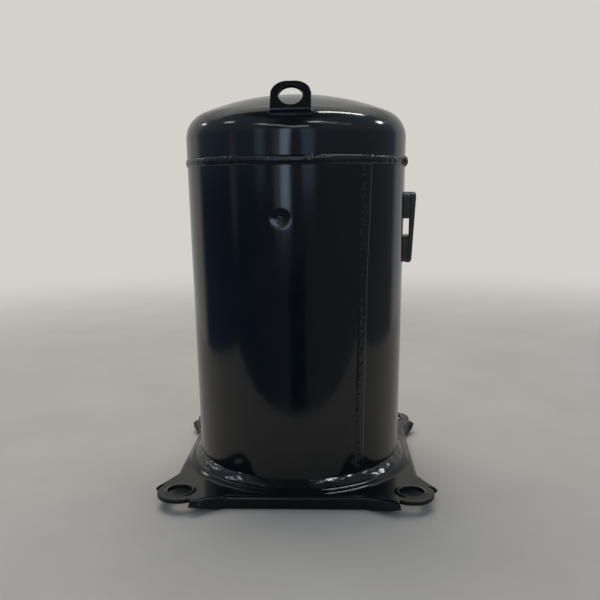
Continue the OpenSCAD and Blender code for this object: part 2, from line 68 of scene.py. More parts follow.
def shade(mesh, sharp):
    """Smooth shading, apart from edges sharper than sharp degrees."""
    for p in mesh.polygons:
        p.use_smooth = True
    mesh.set_sharp_from_angle(angle=radians(sharp))


def make(name, verts, faces, node, replaces=True, merge=1e-5, sharp=50):
    """A piece of the shell from millimetre vertices. Unless replaces is False, it takes the place of a CAD
    node and hides that node."""
    mesh = bpy.data.meshes.new(name)
    bm = bmesh.new()
    made = [bm.verts.new(Vector(v) * MM) for v in verts]
    for f in faces:
        if len(set(f)) == len(f):
            try:
                bm.faces.new([made[i] for i in f])
            except ValueError:
                pass  # the same face twice
    bmesh.ops.remove_doubles(bm, verts=bm.verts, dist=merge * MM)
    loose = [v for v in bm.verts if not v.link_faces]
    bmesh.ops.delete(bm, geom=loose, context="VERTS")
    bmesh.ops.recalc_face_normals(bm, faces=bm.faces)
    bm.to_mesh(mesh)
    bm.free()
    shade(mesh, sharp)
    obj = add_object(name, mesh)
    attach(obj, "shell")
    if replaces:
        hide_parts(node)
    return obj


def cut(obj, *cutters):
    """Cuts closed millimetre meshes (verts, faces) out of obj, and leaves a plain mesh."""
    for verts, faces in cutters:
        mesh = bpy.data.meshes.new("cutter")
        mesh.from_pydata([Vector(v) * MM for v in verts], [], faces)
        bm = bmesh.new()
        bm.from_mesh(mesh)
        bmesh.ops.recalc_face_normals(bm, faces=bm.faces)
        bm.to_mesh(mesh)
        bm.free()
        tool = add_object("cutter", mesh)
        mod = obj.modifiers.new("cut", "BOOLEAN")
        mod.operation = "DIFFERENCE"
        mod.solver = "EXACT"
        mod.object = tool
        bpy.context.view_layer.update()
        graph = bpy.context.evaluated_depsgraph_get()
        done = bpy.data.meshes.new_from_object(obj.evaluated_get(graph))
        obj.modifiers.clear()
        old = obj.data
        obj.data = done
        done.name = obj.name
        bpy.data.meshes.remove(old)
        bpy.data.objects.remove(tool)
    shade(obj.data, 40)


def at_az(az, r, t, z):
    """A point az degrees from the front towards the right, r out from the axis, t along the tangent."""
    a = radians(az - 90)
    return (r * cos(a) - t * sin(a), r * sin(a) + t * cos(a), z)


def circle(cx, cy, r, n, turn=1):
    """n points of a circle from +x, anticlockwise, or clockwise with turn -1."""
    step = turn * 2 * pi
    return [(cx + r * cos(step * i / n), cy + r * sin(step * i / n)) for i in range(n)]


def quarter_turns(points):
    """The same plane points in all four quarters, one quarter after the other."""
    for k in range(4):
        c, s = round(cos(k * pi / 2)), round(sin(k * pi / 2))
        yield [(c * x - s * y, s * x + c * y) for x, y in points]


def shifted(faces, base):
    """Faces whose points start at base."""
    return [tuple(base + i for i in f) for f in faces]


def end_caps(rows, cols):
    """The two faces that close a tube of rows rings of cols points."""
    return [tuple(range(cols)), tuple((rows - 1) * cols + i for i in range(cols))]


def grid_faces(rows, cols, wrap_rows=False, wrap_cols=False):
    """The quads between rows of cols points."""
    faces = []
    for i in range(rows if wrap_rows else rows - 1):
        for k in range(cols if wrap_cols else cols - 1):
            a, b = i * cols + k, i * cols + (k + 1) % cols
            c, d = ((i + 1) % rows) * cols + (k + 1) % cols, ((i + 1) % rows) * cols + k
            faces.append((a, b, c, d))
    return faces


def revolve(profile, azimuths, shift=None):
    """Turns a closed (r, z) profile round Z; shift(az, k, r, z) may move a point, and gives (r, z)."""
    verts = []
    for az in azimuths:
        a = radians(az - 90)
        for k, (r, z) in enumerate(profile):
            if shift:
                r, z = shift(az, k, r, z)
            verts.append((r * cos(a), r * sin(a), z))
    return verts, grid_faces(len(azimuths), len(profile), True, True)


def turned(profile, az, z0, n=96, shift=None):
    """Turns a closed (radius, distance out) profile round the line out of the shell at az and z0."""
    verts = []
    for i in range(n):
        phi = 2 * pi * i / n
        for k, (rad, out) in enumerate(profile):
            if shift:
                rad, out = shift(phi, k, rad, out)
            verts.append(at_az(az, out, rad * cos(phi), z0 + rad * sin(phi)))
    return verts, grid_faces(n, len(profile), True, True)


def bore(az, z0, rad):
    """A rod through the wall, to cut a hole with."""
    return turned([(0, BORE_IN), (rad, BORE_IN), (rad, BORE_OUT), (0, BORE_OUT)], az, z0, 64)


def arc(cx, cy, r, a0, a1, n):
    """Points of an arc, its angles in degrees anticlockwise from +x."""
    return [(cx + r * cos(radians(a0 + (a1 - a0) * i / n)),
             cy + r * sin(radians(a0 + (a1 - a0) * i / n))) for i in range(n + 1)]


def resample(points, step):
    """Points spaced step apart along a closed outline."""
    out, carry = [], 0.0
    for (x0, y0), (x1, y1) in zip(points, points[1:] + points[:1]):
        length = hypot(x1 - x0, y1 - y0)
        at = carry
        while at < length:
            out.append((x0 + (x1 - x0) * at / length, y0 + (y1 - y0) * at / length))
            at += step
        carry = at - length
    return out


def chaikin(points):
    """A closed outline with its corners cut twice."""
    for _ in range(2):
        out = []
        for (x0, y0), (x1, y1) in zip(points, points[1:] + points[:1]):
            out.append((0.75 * x0 + 0.25 * x1, 0.75 * y0 + 0.25 * y1))
            out.append((0.25 * x0 + 0.75 * x1, 0.25 * y0 + 0.75 * y1))
        points = out
    return points


def inset(points, d):
    """A closed outline moved by d towards its left-hand side."""
    n = len(points)
    out = []
    for i in range(n):
        (x0, y0), (x1, y1) = points[i - 1], points[(i + 1) % n]
        tx, ty = x1 - x0, y1 - y0
        length = hypot(tx, ty) or 1.0
        out.append((points[i][0] - ty / length * d, points[i][1] + tx / length * d))
    return out


def sheet_metal(outer, holes, interior, thick, edge_r, place, open_rings=()):
    """A sheet of even thickness with rounded sheared edges. outer runs anticlockwise and each hole
    clockwise, place(u, v) gives a point on the top face, and open_rings are holes without an edge."""
    phis = [radians(a) for a in (0, 22.5, 45, 67.5, 90)]
    depth = [(edge_r * (1 - cos(a)), edge_r * (1 - sin(a))) for a in phis]
    pts, drop, edges, loops = [], [], [], []

    def add_loop(loop, constrained):
        first = len(pts)
        pts.extend(loop)
        if constrained:
            edges.extend((first + i, first + (i + 1) % len(loop)) for i in range(len(loop)))
        return list(range(first, first + len(loop)))

    for loop in [outer, *holes]:
        ids = []
        for d, dz in depth:
            ids.append(add_loop(inset(loop, d) if d else loop, not d))
            drop.extend([dz] * len(loop))
        loops.append(ids)
    for loop in open_rings:
        add_loop(loop, True)
        drop.extend([0.0] * len(loop))
    tree = kdtree.KDTree(len(pts))
    for i, p in enumerate(pts):
        tree.insert((p[0], p[1], 0), i)
    tree.balance()
    near = edge_r * 0.5 + 0.25
    for p in interior:
        if tree.find((p[0], p[1], 0))[2] > near:
            pts.append(p)
            drop.append(0.0)
    flat, _, tris, source = geometry.delaunay_2d_cdt([Vector(p) for p in pts], edges, [], 0, 1e-7)[:4]

    def inside(x, y, loop):
        hit = False
        for (x0, y0), (x1, y1) in zip(loop, loop[1:] + loop[:1]):
            if (y0 > y) != (y1 > y) and x < (x1 - x0) * (y - y0) / (y1 - y0) + x0:
                hit = not hit
        return hit

    around = outer[::2] if len(outer) > 1500 else outer
    boxes = []
    for loop in [*holes, *open_rings]:
        us, vs = [p[0] for p in loop], [p[1] for p in loop]
        boxes.append((loop, min(us), max(us), min(vs), max(vs)))
    kept = []
    for t in tris:
        cx = sum(flat[i].x for i in t) / 3
        cy = sum(flat[i].y for i in t) / 3
        if any(b[1] < cx < b[2] and b[3] < cy < b[4] and inside(cx, cy, b[0]) for b in boxes):
            continue
        if inside(cx, cy, around):
            kept.append(tuple(t))
    first_of = {}
    for new, olds in enumerate(source):
        for o in olds:
            first_of[o] = new
    drops = [0.0] * len(flat)
    for o, new in first_of.items():
        drops[new] = max(drops[new], drop[o])
    eps = 0.05
    top, low = [], []
    for i, p in enumerate(flat):
        u, v = p.x, p.y
        base = Vector(place(u, v))
        du = Vector(place(u + eps, v)) - Vector(place(u - eps, v))
        dv = Vector(place(u, v + eps)) - Vector(place(u, v - eps))
        n = du.cross(dv).normalized()
        top.append(base - n * drops[i])
        low.append(base - n * (thick - drops[i]))
    count = len(flat)
    verts = top + low
    faces = kept + [tuple(count + i for i in reversed(t)) for t in kept]
    for ids in loops:
        ring = [first_of[i] for i in ids[0]]
        for a, b in zip(ring, ring[1:] + ring[:1]):
            if a != b:
                faces.append((a, a + count, b + count, b))
    return verts, faces


# ---- sizes, as in the CAD source, in millimetres

SHELL_R = 92.0
SHELL_WALL = 3.2
SHELL_Z0, SHELL_Z1 = 15.6, 270.5
BORE_IN, BORE_OUT = 80, 100
JOINT_R = 90.2
CAP_Z0 = 274.5
CAP_SIDE_Z = 288
CAP_WALL = 3.5
CAP_TOP = 326.0
KNUCKLE_R = 22.0
KNUCKLE_C = 70.0
KNUCKLE_Z = 291.0
CROWN_R = (KNUCKLE_C ** 2 + 35.0 ** 2 - KNUCKLE_R ** 2) / (2 * (35.0 - KNUCKLE_R))
CROWN_A = degrees(asin(KNUCKLE_C / (CROWN_R - KNUCKLE_R)))
GIRTH_Z, GIRTH_HALF = 272.5, 3.45
PLUG_AZ = (-5.4, 140.0, 234.6)
PLUG_Z = 230.5
NUGGET_R = 6.9
SEAM_Z0, SEAM_Z1, SEAM_AZ = 21.5, 270.6, 37.4
TERM_AZ, TERM_Z, TERM_HOLE_R = 108.0, 205.0, 15.1
SUCTION_AZ, SUCTION_Z, SUCTION_ID = 205.0, 188.0, 22.3
DISCHARGE_AZ, DISCHARGE_Z, DISCHARGE_ID = 160.0, 284.0, 12.8
STUB_WALL = 1.6
BEAD_OUT, BEAD_LEN = 93.4, 7.8
FOOT_Z = 12.0
COLLAR_Z = 15.5
SHEET = 3.5
PITCH = 95.25
FEET = [(sx * PITCH, sy * PITCH) for sx in (-1, 1) for sy in (-1, 1)]
FOOT_R = 19.0
HOLE_R = 10.0


def face_at(t):
    """How far out the shell's round face is, t along the tangent."""
    return sqrt(SHELL_R ** 2 - t * t)


def round_shell(az):
    """A point on the shell's circle, for noise that closes on itself."""
    a = radians(az)
    return SHELL_R * sin(a), SHELL_R * cos(a)


def spaced(lo, hi, step):
    """Even steps of about step from lo to hi, both included."""
    n = max(1, round(abs(hi - lo) / step))
    return [lo + (hi - lo) * i / n for i in range(n + 1)]


# ---- shell tube with its dished plug-weld seats

DISH_R = 8.3


def az_gap(a, b):
    """Degrees from b to a, between -180 and 180."""
    return (a - b + 180) % 360 - 180


def shell_azimuths():
    azs = set(round(a, 3) for a in spaced(0, 358.5, 1.5))
    for p in PLUG_AZ:
        azs = {a for a in azs if abs(az_gap(a, p)) > 7}
        azs |= {round((p + d) % 360, 3) for d in spaced(-7, 7, 0.25)}
    return sorted(azs)


def dish(az, z):
    """How far the shell's face is drawn in at a plug weld."""
    deep = 0.0
    for p in PLUG_AZ:
        t = radians(az_gap(az, p)) * SHELL_R
        d = hypot(t, 1.16 * (z - PLUG_Z))
        if d < 12:
            deep -= 0.85 * (1 - smooth(d, 0.5, DISH_R + 1.2))
    return deep


def build_shell():
    zs = spaced(SHELL_Z0, 219, 4.5) + spaced(219.6, 241.4, 0.4) + spaced(243, SHELL_Z1 - 1.5, 4.0)
    outer = [(SHELL_R, z) for z in zs]
    profile = outer + [(JOINT_R, SHELL_Z1)] + [(SHELL_R - SHELL_WALL, z) for z in (SHELL_Z1, 140, SHELL_Z0)]

    def shift(az, k, r, z):
        if k < len(outer):
            cx, cy = round_shell(az)
            wave = 0.030 * bumps(cx, cy, z * 0.35, 34, 3.1) + 0.012 * bumps(cx, cy, z * 0.5, 13, 8.4)
            r += wave * band(z, 22, 30, 262, 268) + dish(az, z)
        return r, z

    verts, faces = revolve(profile, shell_azimuths(), shift)
    obj = make("shell_tube_skin", verts, faces, "shell_tube")
    cut(obj, bore(TERM_AZ, TERM_Z, TERM_HOLE_R), bore(SUCTION_AZ, SUCTION_Z, SUCTION_ID / 2 + STUB_WALL))
    return obj


def build_plugs():
    verts, faces = [], []
    rings = [0.5 * i for i in range(14)] + [NUGGET_R]
    spokes = 64
    for n, p in enumerate(PLUG_AZ):
        base = len(verts)
        for rad in rings:
            for i in range(spokes):
                phi = 2 * pi * i / spokes
                t, dz = rad * cos(phi), rad * sin(phi)
                low = 0.35 + 0.65 * smooth(0.5 * t - dz, -1.5, 2.5)
                lump = 0.80 * low * bumps(t, 1.2 * dz, n * 9.0, 1.7, 5.3)
                lump += 0.12 * bumps(t, dz, n * 9.0, 0.8, 13.7)
                wide = hypot(t + 0.7, 1.1 * (dz + 1.4))
                wide *= 1 + 0.14 * bumps(cos(phi), sin(phi), n * 3.0, 1.1, 2.6)
                high = -0.90 + 0.22 * (1 - smooth(wide, 2.6, 5.6)) + lump * (1 - smooth(wide, 4.0, 6.2))
                if rad == NUGGET_R:
                    high = -2.0
                verts.append(at_az(p, face_at(t) + high, t, PLUG_Z + dz))
        faces += shifted(grid_faces(len(rings), spokes, False, True), base)
        faces += shifted(end_caps(len(rings), spokes)[1:], base)
    return make("plug_weld_nuggets", verts, faces, "plug_welds")


# ---- cap

def cap_profile(d):
    """The crown and the knuckle, moved in by d: points (radius, height)."""
    crown = arc(0, CAP_TOP - CROWN_R, CROWN_R - d, 90, 90 - CROWN_A, 60)
    knuckle = arc(KNUCKLE_C, KNUCKLE_Z, KNUCKLE_R - d, 90 - CROWN_A, 0, 44)[1:]
    return crown + knuckle


def build_cap():
    inside = SHELL_R - CAP_WALL
    outer = cap_profile(0) + [(SHELL_R, z) for z in spaced(CAP_SIDE_Z, CAP_Z0 + 1.5, 3.0)]
    inner = [(inside, CAP_Z0), (inside, CAP_SIDE_Z)] + cap_profile(CAP_WALL)[::-1][::4]
    profile = outer + [(JOINT_R, CAP_Z0)] + inner
    profile[-1] = (0.0, CAP_TOP - CAP_WALL)

    def shift(az, k, r, z):
        if 0 < k < len(outer) and z < 322:
            a = radians(az)
            x, y = r * sin(a), r * cos(a)
            drawn = 0.10 * bumps(x, y, z, 15, 2.2) * band(z, 281, 292, 309, 318)
            drawn += 0.05 * bumps(x, y, z, 40, 6.1) + 0.03 * bumps(x, y, z, 7, 4.4) * smooth(z, 290, 300)
            r += drawn
            z += 0.6 * drawn
        return r, z

    verts, faces = revolve(profile, spaced(0, 359.25, 0.75), shift)
    obj = make("top_cap_skin", verts, faces, "top_cap")
    cut(obj, bore(DISCHARGE_AZ, DISCHARGE_Z, DISCHARGE_ID / 2 + STUB_WALL))
    return obj


# ---- girth weld: one pass, with its overlap at the right

OVERLAP_AZ = 77.0


def build_girth():
    n = 22
    profile = [(0, -1 + 2 * i / n) for i in range(n + 1)] + [(JOINT_R + 0.02, 1.95), (JOINT_R + 0.02, -1.95)]

    def shift(az, k, r, t):
        if k > n:
            return r, GIRTH_Z + t
        s = radians(az) * SHELL_R
        cx, cy = round_shell(az)
        over = exp(-(az_gap(az, OVERLAP_AZ) / 6.5) ** 2)
        rough = 0.35 + 0.65 * smooth(bumps(cx, cy, 0, 22, 9.3), -0.1, 0.35) + 1.5 * over
        wander = 0.42 * bumps(cx, cy, 50 * (1 if t > 0 else -1), 9, 1.2)
        z = t * (GIRTH_HALF + 1.35 * over) + wander * abs(t) ** 2 + 0.25 * bumps(cx, cy, 0, 30, 4.0)
        crown = 1.02 * (1 - t * t) ** 0.85 + 0.75 * over * (1 - t * t)
        turn = 2 * pi * (s - 1.3 * (1 - t * t)) / 2.35
        ripple = 0.075 * sin(turn + 2.2 * bumps(cx, cy, 0, 6, 2.0))
        lumps = 0.30 * bumps(cx, cy, 3 * t, 4.6, 7.7) + 0.20 * bumps(cx, cy, 4 * t, 2.1, 3.3)
        swirl = 0.0
        if over > 0.02:
            u = radians(az_gap(az, OVERLAP_AZ - 2.5)) * SHELL_R
            q = hypot(u, 1.3 * t * GIRTH_HALF)
            swirl = over * 0.72 * sin(2.3 * q + 1.1 * atan2(t * GIRTH_HALF, u + 1e-6))
        high = crown + (ripple + rough * lumps) * (1 - t ** 4) + swirl * (1 - t ** 4)
        if k in (0, n):
            high = -0.35
        return SHELL_R + high, GIRTH_Z + z

    verts, faces = revolve(profile, spaced(0, 359.7, 0.3), shift)
    return make("girth_weld_bead", verts, faces, "girth_weld")


# ---- longitudinal seam weld

def build_seam():
    zs = spaced(SEAM_Z0, SEAM_Z1, 0.55)
    across = [-8.2 + 10.0 * i / 34 for i in range(35)]
    verts = []
    for z in zs:
        az = SEAM_AZ + 0.9 * smooth(z, 33, 166) + 1.8 * smooth(z, 166, 268)
        end = band(z, SEAM_Z0, 24, 269.0, SEAM_Z1)
        wobble = 0.16 * bumps(0, 0, z, 17, 2.5)
        for k, u in enumerate(across):
            t = u + wobble
            plate = 0.62 * band(u, -7.8, -6.0, -0.3, 1.35)
            bead = band(u, -7.8, -6.2, -3.0, -1.8)
            lumps = bead * (0.16 + 0.30 * bumps(u, 0, z, 3.6, 1.9) + 0.20 * bumps(u, 0, z, 1.7, 6.6)
                            - 0.14 * smooth(bumps(u, 3, z, 6.0, 4.9), 0.1, 0.5))
            ripple = 0.04 * bead * sin(2 * pi * (z + 0.25 * (u + 5) ** 2) / 1.9)
            high = (plate + lumps + ripple) * end
            if k in (0, len(across) - 1):
                high = -0.5
            verts.append(at_az(az, face_at(t) + high, t, z))
        verts += [at_az(az, SHELL_R - 1.2, 1.0, z), at_az(az, SHELL_R - 1.6, -7.0, z)]
    cols = len(across) + 2
    faces = grid_faces(len(zs), cols, False, True) + end_caps(len(zs), cols)
    return make("seam_weld_bead", verts, faces, "seam_weld")


# ---- fillet weld round the foot of the shell

def build_base_weld():
    n = 20
    profile = [(0, i / n) for i in range(n + 1)] + [(SHELL_R + 0.15, COLLAR_Z - 0.1)]

    def shift(az, k, r, t):
        if k > n:
            return r, t
        cx, cy = round_shell(az)
        s = radians(az) * SHELL_R
        leg_r = 6.2 + 0.8 * bumps(cx, cy, 0, 14, 2.8) + 0.25 * bumps(cx, cy, 0, 6, 7.0)
        leg_z = 5.6 + 0.8 * bumps(cx, cy, 9, 12, 5.8) + 0.2 * bumps(cx, cy, 9, 6, 1.0)
        # from the plate (t = 0) up to the shell (t = 1), slightly bulging
        px = leg_r * (1 - t) ** 1.12
        pz = leg_z * t ** 1.12
        bulge = sin(pi * t)
        lumps = 0.30 * bumps(cx, cy, 7 * t, 9.0, 3.6)
        lumps += 0.13 * bumps(0.6 * cx, 0.6 * cy, 7 * t, 2.6, 8.1)
        ripple = 0.02 * sin(2 * pi * (s - 1.6 * bulge) / 3.1 + 3 * bumps(cx, cy, 0, 7, 6.6))
        out = bulge * (0.55 + lumps + ripple)
        return SHELL_R + 0.05 + px + out * 0.7, COLLAR_Z - 0.15 + pz + out * 0.7

    verts, faces = revolve(profile, spaced(0, 359.7, 0.3), shift)
    return make("base_weld_bead", verts, faces, "base_weld")


# ---- base stamping

BEND_B = 101.5
BEND_R = 3.5
WING_IN, WING_END = 57.0, 84.0
WING_B = 119.6
EAR_B = 110.56
OUTLINE_STEP, FILL_STEP, LEAST_GAP = 1.15, 1.9, 0.35
COLLAR_OUT, HOLE_KEEP = 106.8, 16.6
RING_R = 97.0
RING_N = 360


def wing_t(a):
    """0 along the middle of a side, 1 at the end of its wing."""
    return min(1.0, max(0.0, (abs(a) - WING_IN) / (WING_END - WING_IN)))


def bend_line(a):
    """Where the bend starts: it moves outwards along the wings."""
    return BEND_B + 12.0 * wing_t(a) ** 1.15


def turn_down(a):
    """Angle, in radians, through which the side is turned down at a along it."""
    return radians(90 - 54 * wing_t(a) ** 1.2) * (1 - smooth(abs(a), WING_END + 0.3, 87.5))


def blank_edge(a):
    """Where the blank's side ends, so that the turned-down side has the right depth."""
    t = wing_t(a)
    th = max(turn_down(a), radians(36))
    reach = 0.3 + 2.7 * smooth(t, 0.1, 0.7) + 2.8 * smooth(t, 0.6, 1.0)
    rest = (FOOT_Z - reach - SHEET * cos(th) - BEND_R * (1 - cos(th))) / sin(th)
    return bend_line(a) + BEND_R * th + rest


def place_base(u, v):
    """The stamping's top face over a point of its flat blank."""
    side = 0 if abs(v) >= abs(u) else 1
    a, b = (u, v) if side == 0 else (v, u)
    sign = 1 if b >= 0 else -1
    b = abs(b)
    r = hypot(u, v)
    collar = (COLLAR_Z - FOOT_Z) * (1 - smooth(r, 99.6, 105.6)) * (1 - smooth(b, 98.6, 102.6))
    out, down = b, 0.0
    start = bend_line(a)
    th = turn_down(a)
    if b > start and th > 0.001:
        e = b - start
        lap = BEND_R * th
        if e <= lap:
            phi = e / BEND_R
            out, down = start + BEND_R * sin(phi), BEND_R * (1 - cos(phi))
        else:
            rest = e - lap
            out = start + BEND_R * sin(th) + rest * cos(th)
            down = BEND_R * (1 - cos(th)) + rest * sin(th)
        if side == 0 and sign < 0:
            # the two front wings did not come out of the press quite alike
            down *= 1 + (0.16 if a > 0 else -0.12) * smooth(wing_t(a), 0.2, 1.0)
    z = FOOT_Z - down + collar
    for cx, cy in FEET:
        d = hypot(u - cx, v - cy)
        if d < 16:
            z += 0.9 * (1 - smooth(d, 10.8, 13.6))
    z += 0.10 * bumps(u, v, 0, 26, 5.5) * smooth(r, 98, 104) * (1 - smooth(b, 100, 104))
    x, y = (a, sign * out) if side == 0 else (sign * out, a)
    return (x, y, z)


def base_outline():
    """The flat blank's outline: a side, then the round foot at its end, four times."""
    ear_a = degrees(atan2(EAR_B - PITCH, PITCH - WING_END))
    quarter = [(a, blank_edge(a)) for a in spaced(WING_END, -WING_END, 1.5)]
    quarter += [(-WING_END, 117.0), (-WING_END - 0.3, 112.4)]
    quarter += arc(-PITCH, PITCH, FOOT_R, ear_a, 270 - ear_a, 44)
    quarter += [(-112.4, WING_END + 0.3), (-117.0, WING_END)]
    outline = [p for part in quarter_turns(quarter) for p in part]
    return resample(chaikin(outline), OUTLINE_STEP)


def square_r(p):
    """Half the side of the square round the origin that p lies on."""
    return max(abs(p[0]), abs(p[1]))


def open_flat(p):
    """Whether a point of the blank lies clear of the collar, the bends and the holes."""
    if hypot(*p) < COLLAR_OUT or square_r(p) > 100.6 and min(abs(p[0]), abs(p[1])) < 84.2:
        return False
    return all(hypot(p[0] - cx, p[1] - cy) > HOLE_KEEP for cx, cy in FEET)


def base_points():
    """Points inside the blank, dense where it bends, one to a cell of LEAST_GAP."""
    points = []
    for cx, cy in FEET:
        for rad in (11.9, 12.5, 13.1, 13.8, 14.8, 16.0):
            points += circle(cx, cy, rad, 64)
    for rad in spaced(98, 105, 1) + [106.2, 108]:
        points += [p for p in circle(0, 0, rad, 320) if square_r(p) < BEND_B - 0.7]
    bent = []
    for a in spaced(-WING_END + 0.9, WING_END - 0.9, 1.6):
        start, edge = bend_line(a), blank_edge(a)
        lap = BEND_R * turn_down(a)
        rows = spaced(start, start + lap, 0.5) + spaced(start + lap + 1.1, edge - 1.5, 1.3)
        if start > BEND_B + 1.5:
            rows += spaced(BEND_B, start - 1.0, 1.4)
        bent += [(a, b) for b in rows if b < edge - 1.2]
    for part in quarter_turns(bent):
        points += part
    for j in range(-66, 67):
        for i in range(-66, 67):
            p = (i * FILL_STEP + (0.5 * FILL_STEP if j % 2 else 0), j * FILL_STEP * 0.93)
            if square_r(p) < 115 and open_flat(p):
                points.append(p)
    cells = {}
    for p in points:
        cells.setdefault((round(p[0] / LEAST_GAP), round(p[1] / LEAST_GAP)), p)
    return [p for p in cells.values() if square_r(p) < WING_B + 1]


def build_base():
    holes = [circle(cx, cy, HOLE_R, 72, -1) for cx, cy in FEET]
    turns = [(sin(2 * pi * i / RING_N), cos(2 * pi * i / RING_N)) for i in range(RING_N)]
    ring = [(RING_R * s, RING_R * c) for s, c in turns]
    verts, faces = sheet_metal(base_outline(), holes, base_points(), SHEET, 0.9, place_base, [ring])
    count = len(verts)

    # the part inside the shell, from the collar to the dished floor and back along its underside
    lathe = [(RING_R, 15.5), (94, 15.5), (91, 15.5), (89.4, 15.6), (88.75, 16.4), (88.6, 18), (88.6, 23.6)]
    lathe += arc(84.4, 23.8, 4.2, 0, 95, 10)[1:]
    lathe += [(81.5, 27.1), (79.4, 25.2), (76, 21.6), (70, 16.4), (58, 13.4), (44, 11.6), (30, 10.6),
              (15, 10.1), (0.0, 10.0), (0.0, 6.5), (15, 6.6), (30, 7.1), (44, 8.1), (57, 9.8), (69, 12.7),
              (74.5, 17.4), (78.6, 21.6), (81, 23.2), (83.4, 23.9), (85.0, 22.6), (85.1, 20), (85.1, 14.6),
              (85.9, 12.7), (88, 12.0), (92, 12.0), (RING_R, 12.0)]
    verts += [(r * s, r * c, z) for s, c in turns for r, z in lathe]
    faces += shifted(grid_faces(RING_N, len(lathe), True), count)
    return make("base_stamping", verts, faces, "base_plate", merge=0.012, sharp=42)


# ---- lifting lug

LUG_W = 30.0
LUG_T = 3.2
LUG_LEAN = 37.0
LUG_LEN = 24.5
LUG_HOLE_R = 8.75
LUG_HOLE_S = 11.4
LUG_FOOT = 4.6
LUG_CORNER = 12.0


def lug_front(s):
    """Place of the lug's front face at s along it, in the (y, z) plane."""
    outer = KNUCKLE_R + LUG_T
    if s <= 0:
        a = radians(45) - s / outer
        outer = KNUCKLE_R - 0.15 + (LUG_T + 0.15) * (1 - smooth(-s, 0.2, LUG_FOOT - 0.2))
        y, z = KNUCKLE_C + outer * sin(a), KNUCKLE_Z + outer * cos(a)
        return (-y, z)
    y0, z0 = -(KNUCKLE_C + outer * sin(radians(45))), KNUCKLE_Z + outer * cos(radians(45))
    lean = radians(LUG_LEAN)
    return (y0 + s * sin(lean), z0 + s * cos(lean))


def place_lug(u, s):
    y, z = lug_front(s)
    return (u, y, z)


def build_lug():
    h, c = LUG_W / 2, LUG_CORNER
    round_right = arc(h - c, LUG_LEN - c, c, 0, 90, 24)
    round_left = arc(c - h, LUG_LEN - c, c, 90, 180, 24)
    low_right = arc(h - 1.6, -LUG_FOOT + 1.6, 1.6, -90, 0, 5)
    low_left = arc(1.6 - h, -LUG_FOOT + 1.6, 1.6, 180, 270, 5)
    outline = resample(low_right + round_right + round_left + low_left, 0.55)
    hole = circle(0, LUG_HOLE_S, LUG_HOLE_R, 96, -1)
    interior = []
    for j in range(-14, 40):
        for i in range(-18, 19):
            p = (i * 0.85 + (0.42 if j % 2 else 0), j * 0.75)
            if abs(p[0]) < h - 0.9 and -LUG_FOOT + 0.9 < p[1] < LUG_LEN - 0.9:
                past_u, past_s = abs(p[0]) - (h - c), p[1] - (LUG_LEN - c)
                corner = past_u > 0 and past_s > 0 and hypot(past_u, past_s) > c - 0.9
                if hypot(p[0], p[1] - LUG_HOLE_S) > LUG_HOLE_R + 1.0 and not corner:
                    interior.append(p)
    verts, faces = sheet_metal(outline, [hole], interior, LUG_T, 0.55, place_lug)
    return make("lifting_lug_tab", verts, faces, "lifting_lug", sharp=60)


def build_lug_welds():
    """A smooth fillet down one side of the foot, along its lower edge and up the other side."""
    h = LUG_W / 2
    path = ([(-h, s) for s in spaced(1.0, -LUG_FOOT + 2.5, 0.35)]
            + arc(2.5 - h, -LUG_FOOT + 2.5, 2.5, 180, 270, 8)[1:]
            + [(u, -LUG_FOOT) for u in spaced(2.8 - h, h - 2.8, 0.5)]
            + arc(h - 2.5, -LUG_FOOT + 2.5, 2.5, 270, 360, 8)[1:]
            + [(h, s) for s in spaced(-LUG_FOOT + 2.8, 1.0, 0.35)])
    verts = []
    ring = 16
    for i, (u, s) in enumerate(path):
        y, z = lug_front(s)
        n = Vector((0, y + KNUCKLE_C, z - KNUCKLE_Z)).normalized()
        if s <= 0:
            y, z = -KNUCKLE_C + n.y * (KNUCKLE_R + LUG_T), KNUCKLE_Z + n.z * (KNUCKLE_R + LUG_T)
        else:
            n = Vector((0, -cos(radians(LUG_LEAN)), sin(radians(LUG_LEAN))))
        x0, s0 = path[max(0, i - 1)]
        x1, s1 = path[min(len(path) - 1, i + 1)]
        y0, z0 = lug_front(s0)
        y1, z1 = lug_front(s1)
        along = Vector((x1 - x0, y1 - y0, z1 - z0)).normalized()
        side = along.cross(n).normalized()
        ends = band(i, -0.5, 5, len(path) - 6, len(path) - 0.5)
        rad = 0.3 + (1.0 if abs(u) > h - 2.6 else 0.45) * ends * (1 + 0.10 * bumps(u, s, 0, 2.6, 3.0))
        for k in range(ring):
            phi = 2 * pi * k / ring
            lump = 1 + 0.07 * bumps(u + cos(phi), s, sin(phi), 1.7, 2.0)
            off = side * (rad * lump * cos(phi)) + n * (rad * 0.8 * lump * sin(phi) - LUG_T)
            verts.append(Vector((u, y, z)) + off)
    faces = grid_faces(len(path), ring, False, True) + end_caps(len(path), ring)
    return make("lifting_lug_fillets", verts, faces, "lug_welds")


# ---- terminal fence

FENCE_HALF = 33.0
FENCE_Z0, FENCE_H = 188.0, 60.0
FENCE_OUT = 96.0
TACK_HALF, TACK_AT = 6.5, 18
FENCE_MID = FENCE_Z0 + FENCE_H / 2
NOTCH_IN, NOTCH_OUT = 70, 91.9
NOTCH_Z = (211, 226)


